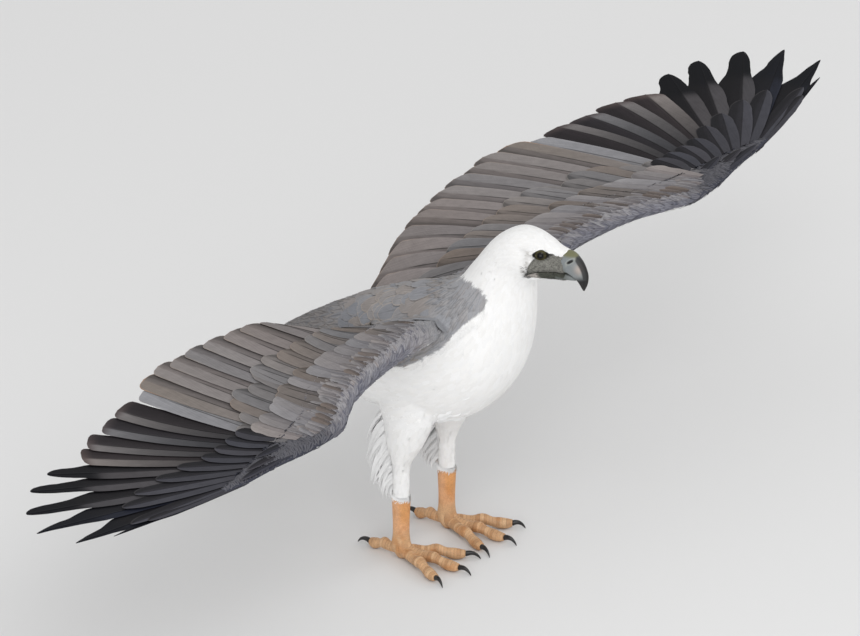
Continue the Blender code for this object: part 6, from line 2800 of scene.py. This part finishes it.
    def publish(self, shop: Workshop) -> None:
        """Hands in the foot with the shank, and the claws.

        Args:
            shop: Where the pieces are handed in.
        """
        word = WORDS[self.side]
        shapes = [self.column(self.shank, 40, 0.0), self.column(self.sole, 16, 0.1), *self.webs()]
        shapes += [self.toe(degrees, length) for _, degrees, length, _ in self.toes]
        remesh = ("REMESH", {"mode": "VOXEL", "voxel_size": self.voxel, "use_smooth_shade": True})
        mesh = evaluated(to_mesh(shapes, "foot"), remesh, ("SMOOTH", {"factor": 0.4, "iterations": 2}))
        places = points_of(mesh)
        places[:, 2] = np.maximum(places[:, 2], 0.0)
        move_points(mesh, places)
        paint(mesh, "tint", self.tints(places))
        shop.publish(f"foot_skin_{word}", mesh, LegFinish(), Slot.LEG, f"foot_{word}", f"tarsus_{word}")
        claws = to_mesh([self.claw(*sizes) for _, *sizes in self.toes], "claws")
        nodes = [f"claw_{word}_{name}" for name, _, _, _ in self.toes]
        shop.publish(f"claws_{word}", claws, ClawFinish(), Slot.CLAW, *nodes)


@dataclass(frozen=True)
class Floor:
    """A plain pale floor."""

    half: float = 60.0

    def build(self) -> None:
        """Lays the floor."""
        mesh = bpy.data.meshes.new("floor")
        far = self.half
        corners = [(x, y, 0) for x, y in ((-far, -far), (far, -far), (far, far), (-far, far))]
        mesh.from_pydata(corners, [], [(0, 1, 2, 3)])
        shader = Shader("floor")
        shader.finish(shade(226, 226, 226), 0.9, None, 0.0)
        mesh.materials.append(shader.material)
        put("floor", mesh)


@dataclass(frozen=True)
class Studio:
    """Soft lights and the camera at the photograph's angle.

    Attributes:
        azimuth, elevation: The camera's angles round and above the bird.
        lens, sensor: The camera's lens and sensor, in millimetres.
        setback: How much farther off the camera stands than its lens alone asks, in metres.
        sky: The strength of the white sky.
        lamps: Each lamp's name, place, size and power.
    """

    azimuth: float = math.radians(-54.5)
    elevation: float = math.radians(27.6)
    lens: float = 1100.0
    sensor: float = 36.0
    setback: float = 0.12
    sky: float = 0.76
    lamps: tuple[tuple[str, Triple, float, float], ...] = (
        ("key", (-3.2, -3.0, 4.6), 3.0, 80.0), ("fill", (3.6, -2.2, 2.4), 3.0, 36.0),
        ("low", (-3.6, -1.6, 0.9), 2.4, 46.0),
    )

    @staticmethod
    def light(name: str, place: Triple, size: float, power: float) -> None:
        """One soft lamp that looks at the bird.

        Args:
            name: Its name.
            place: Where it hangs.
            size: The length of its sides.
            power: Its power, in watts.
        """
        lamp = bpy.data.lights.new(name, "AREA")
        lamp.size = size
        lamp.energy = power
        hung = put(name, lamp)
        hung.location = place
        hung.rotation_euler = (Vector((0, 0, 0.3)) - Vector(place)).to_track_quat("-Z", "Y").to_euler()

    def build(self) -> None:
        """Sets the lights, the sky and the camera."""
        sky = bpy.data.worlds.new("sky")
        sky.use_nodes = True
        inputs = sky.node_tree.nodes["Background"].inputs
        inputs["Color"].default_value = (1.0, 1.0, 1.0, 1.0)
        inputs["Strength"].default_value = self.sky
        bpy.context.scene.world = sky
        bpy.context.scene.view_settings.view_transform = "Standard"
        for lamp in self.lamps:
            self.light(*lamp)
        a, e = self.azimuth, self.elevation
        back = Vector((math.sin(a) * math.cos(e), -math.cos(a) * math.cos(e), math.sin(e)))
        right = Vector((math.cos(a), math.sin(a), 0))
        width, height = PHOTO_SIZE
        upward = back.cross(right)
        aim = Vector((0, ANKLE_Y, 0))
        aim += right * (width / 2 - ANKLE_PIXEL[0]) * PIXEL + upward * (ANKLE_PIXEL[1] - height / 2) * PIXEL
        data = bpy.data.cameras.new("camera")
        data.lens, data.sensor_width = self.lens, self.sensor
        far = self.lens / self.sensor * width * PIXEL
        data.clip_start, data.clip_end = 0.05, far * 4
        camera = put("camera", data)
        camera.location = aim + back * (far + self.setback)
        camera.rotation_euler = (-back).to_track_quat("-Z", "Y").to_euler()
        bpy.context.scene.camera = camera


def main() -> None:
    """Builds the bird, the floor and the studio."""
    logging.basicConfig(level=logging.INFO, format="%(message)s")
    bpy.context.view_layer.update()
    shop = Workshop()
    skin = Skin()
    skin.build()
    Coat(skin).publish(shop)
    skin.publish(shop)
    for side in SIDES:
        Wing(side).publish(shop)
    Tail().publish(shop)
    Bill().publish(shop)
    Eyes().publish(shop)
    Locks(skin).publish(shop)
    Bristles("lore_bristles", 240000.0, 3.2 * MM, 0.14 * MM, (0.0, 1.5, -0.45)).publish(shop, skin)
    Bristles("gape_bristles", 420000.0, 7.0 * MM, 0.2 * MM, (0.0, 2.2, -1.1), True).publish(shop, skin)
    for side in SIDES:
        Leg(side).publish(shop)
    Floor().build()
    Studio().build()
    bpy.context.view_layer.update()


if __name__ == "__main__":
    main()
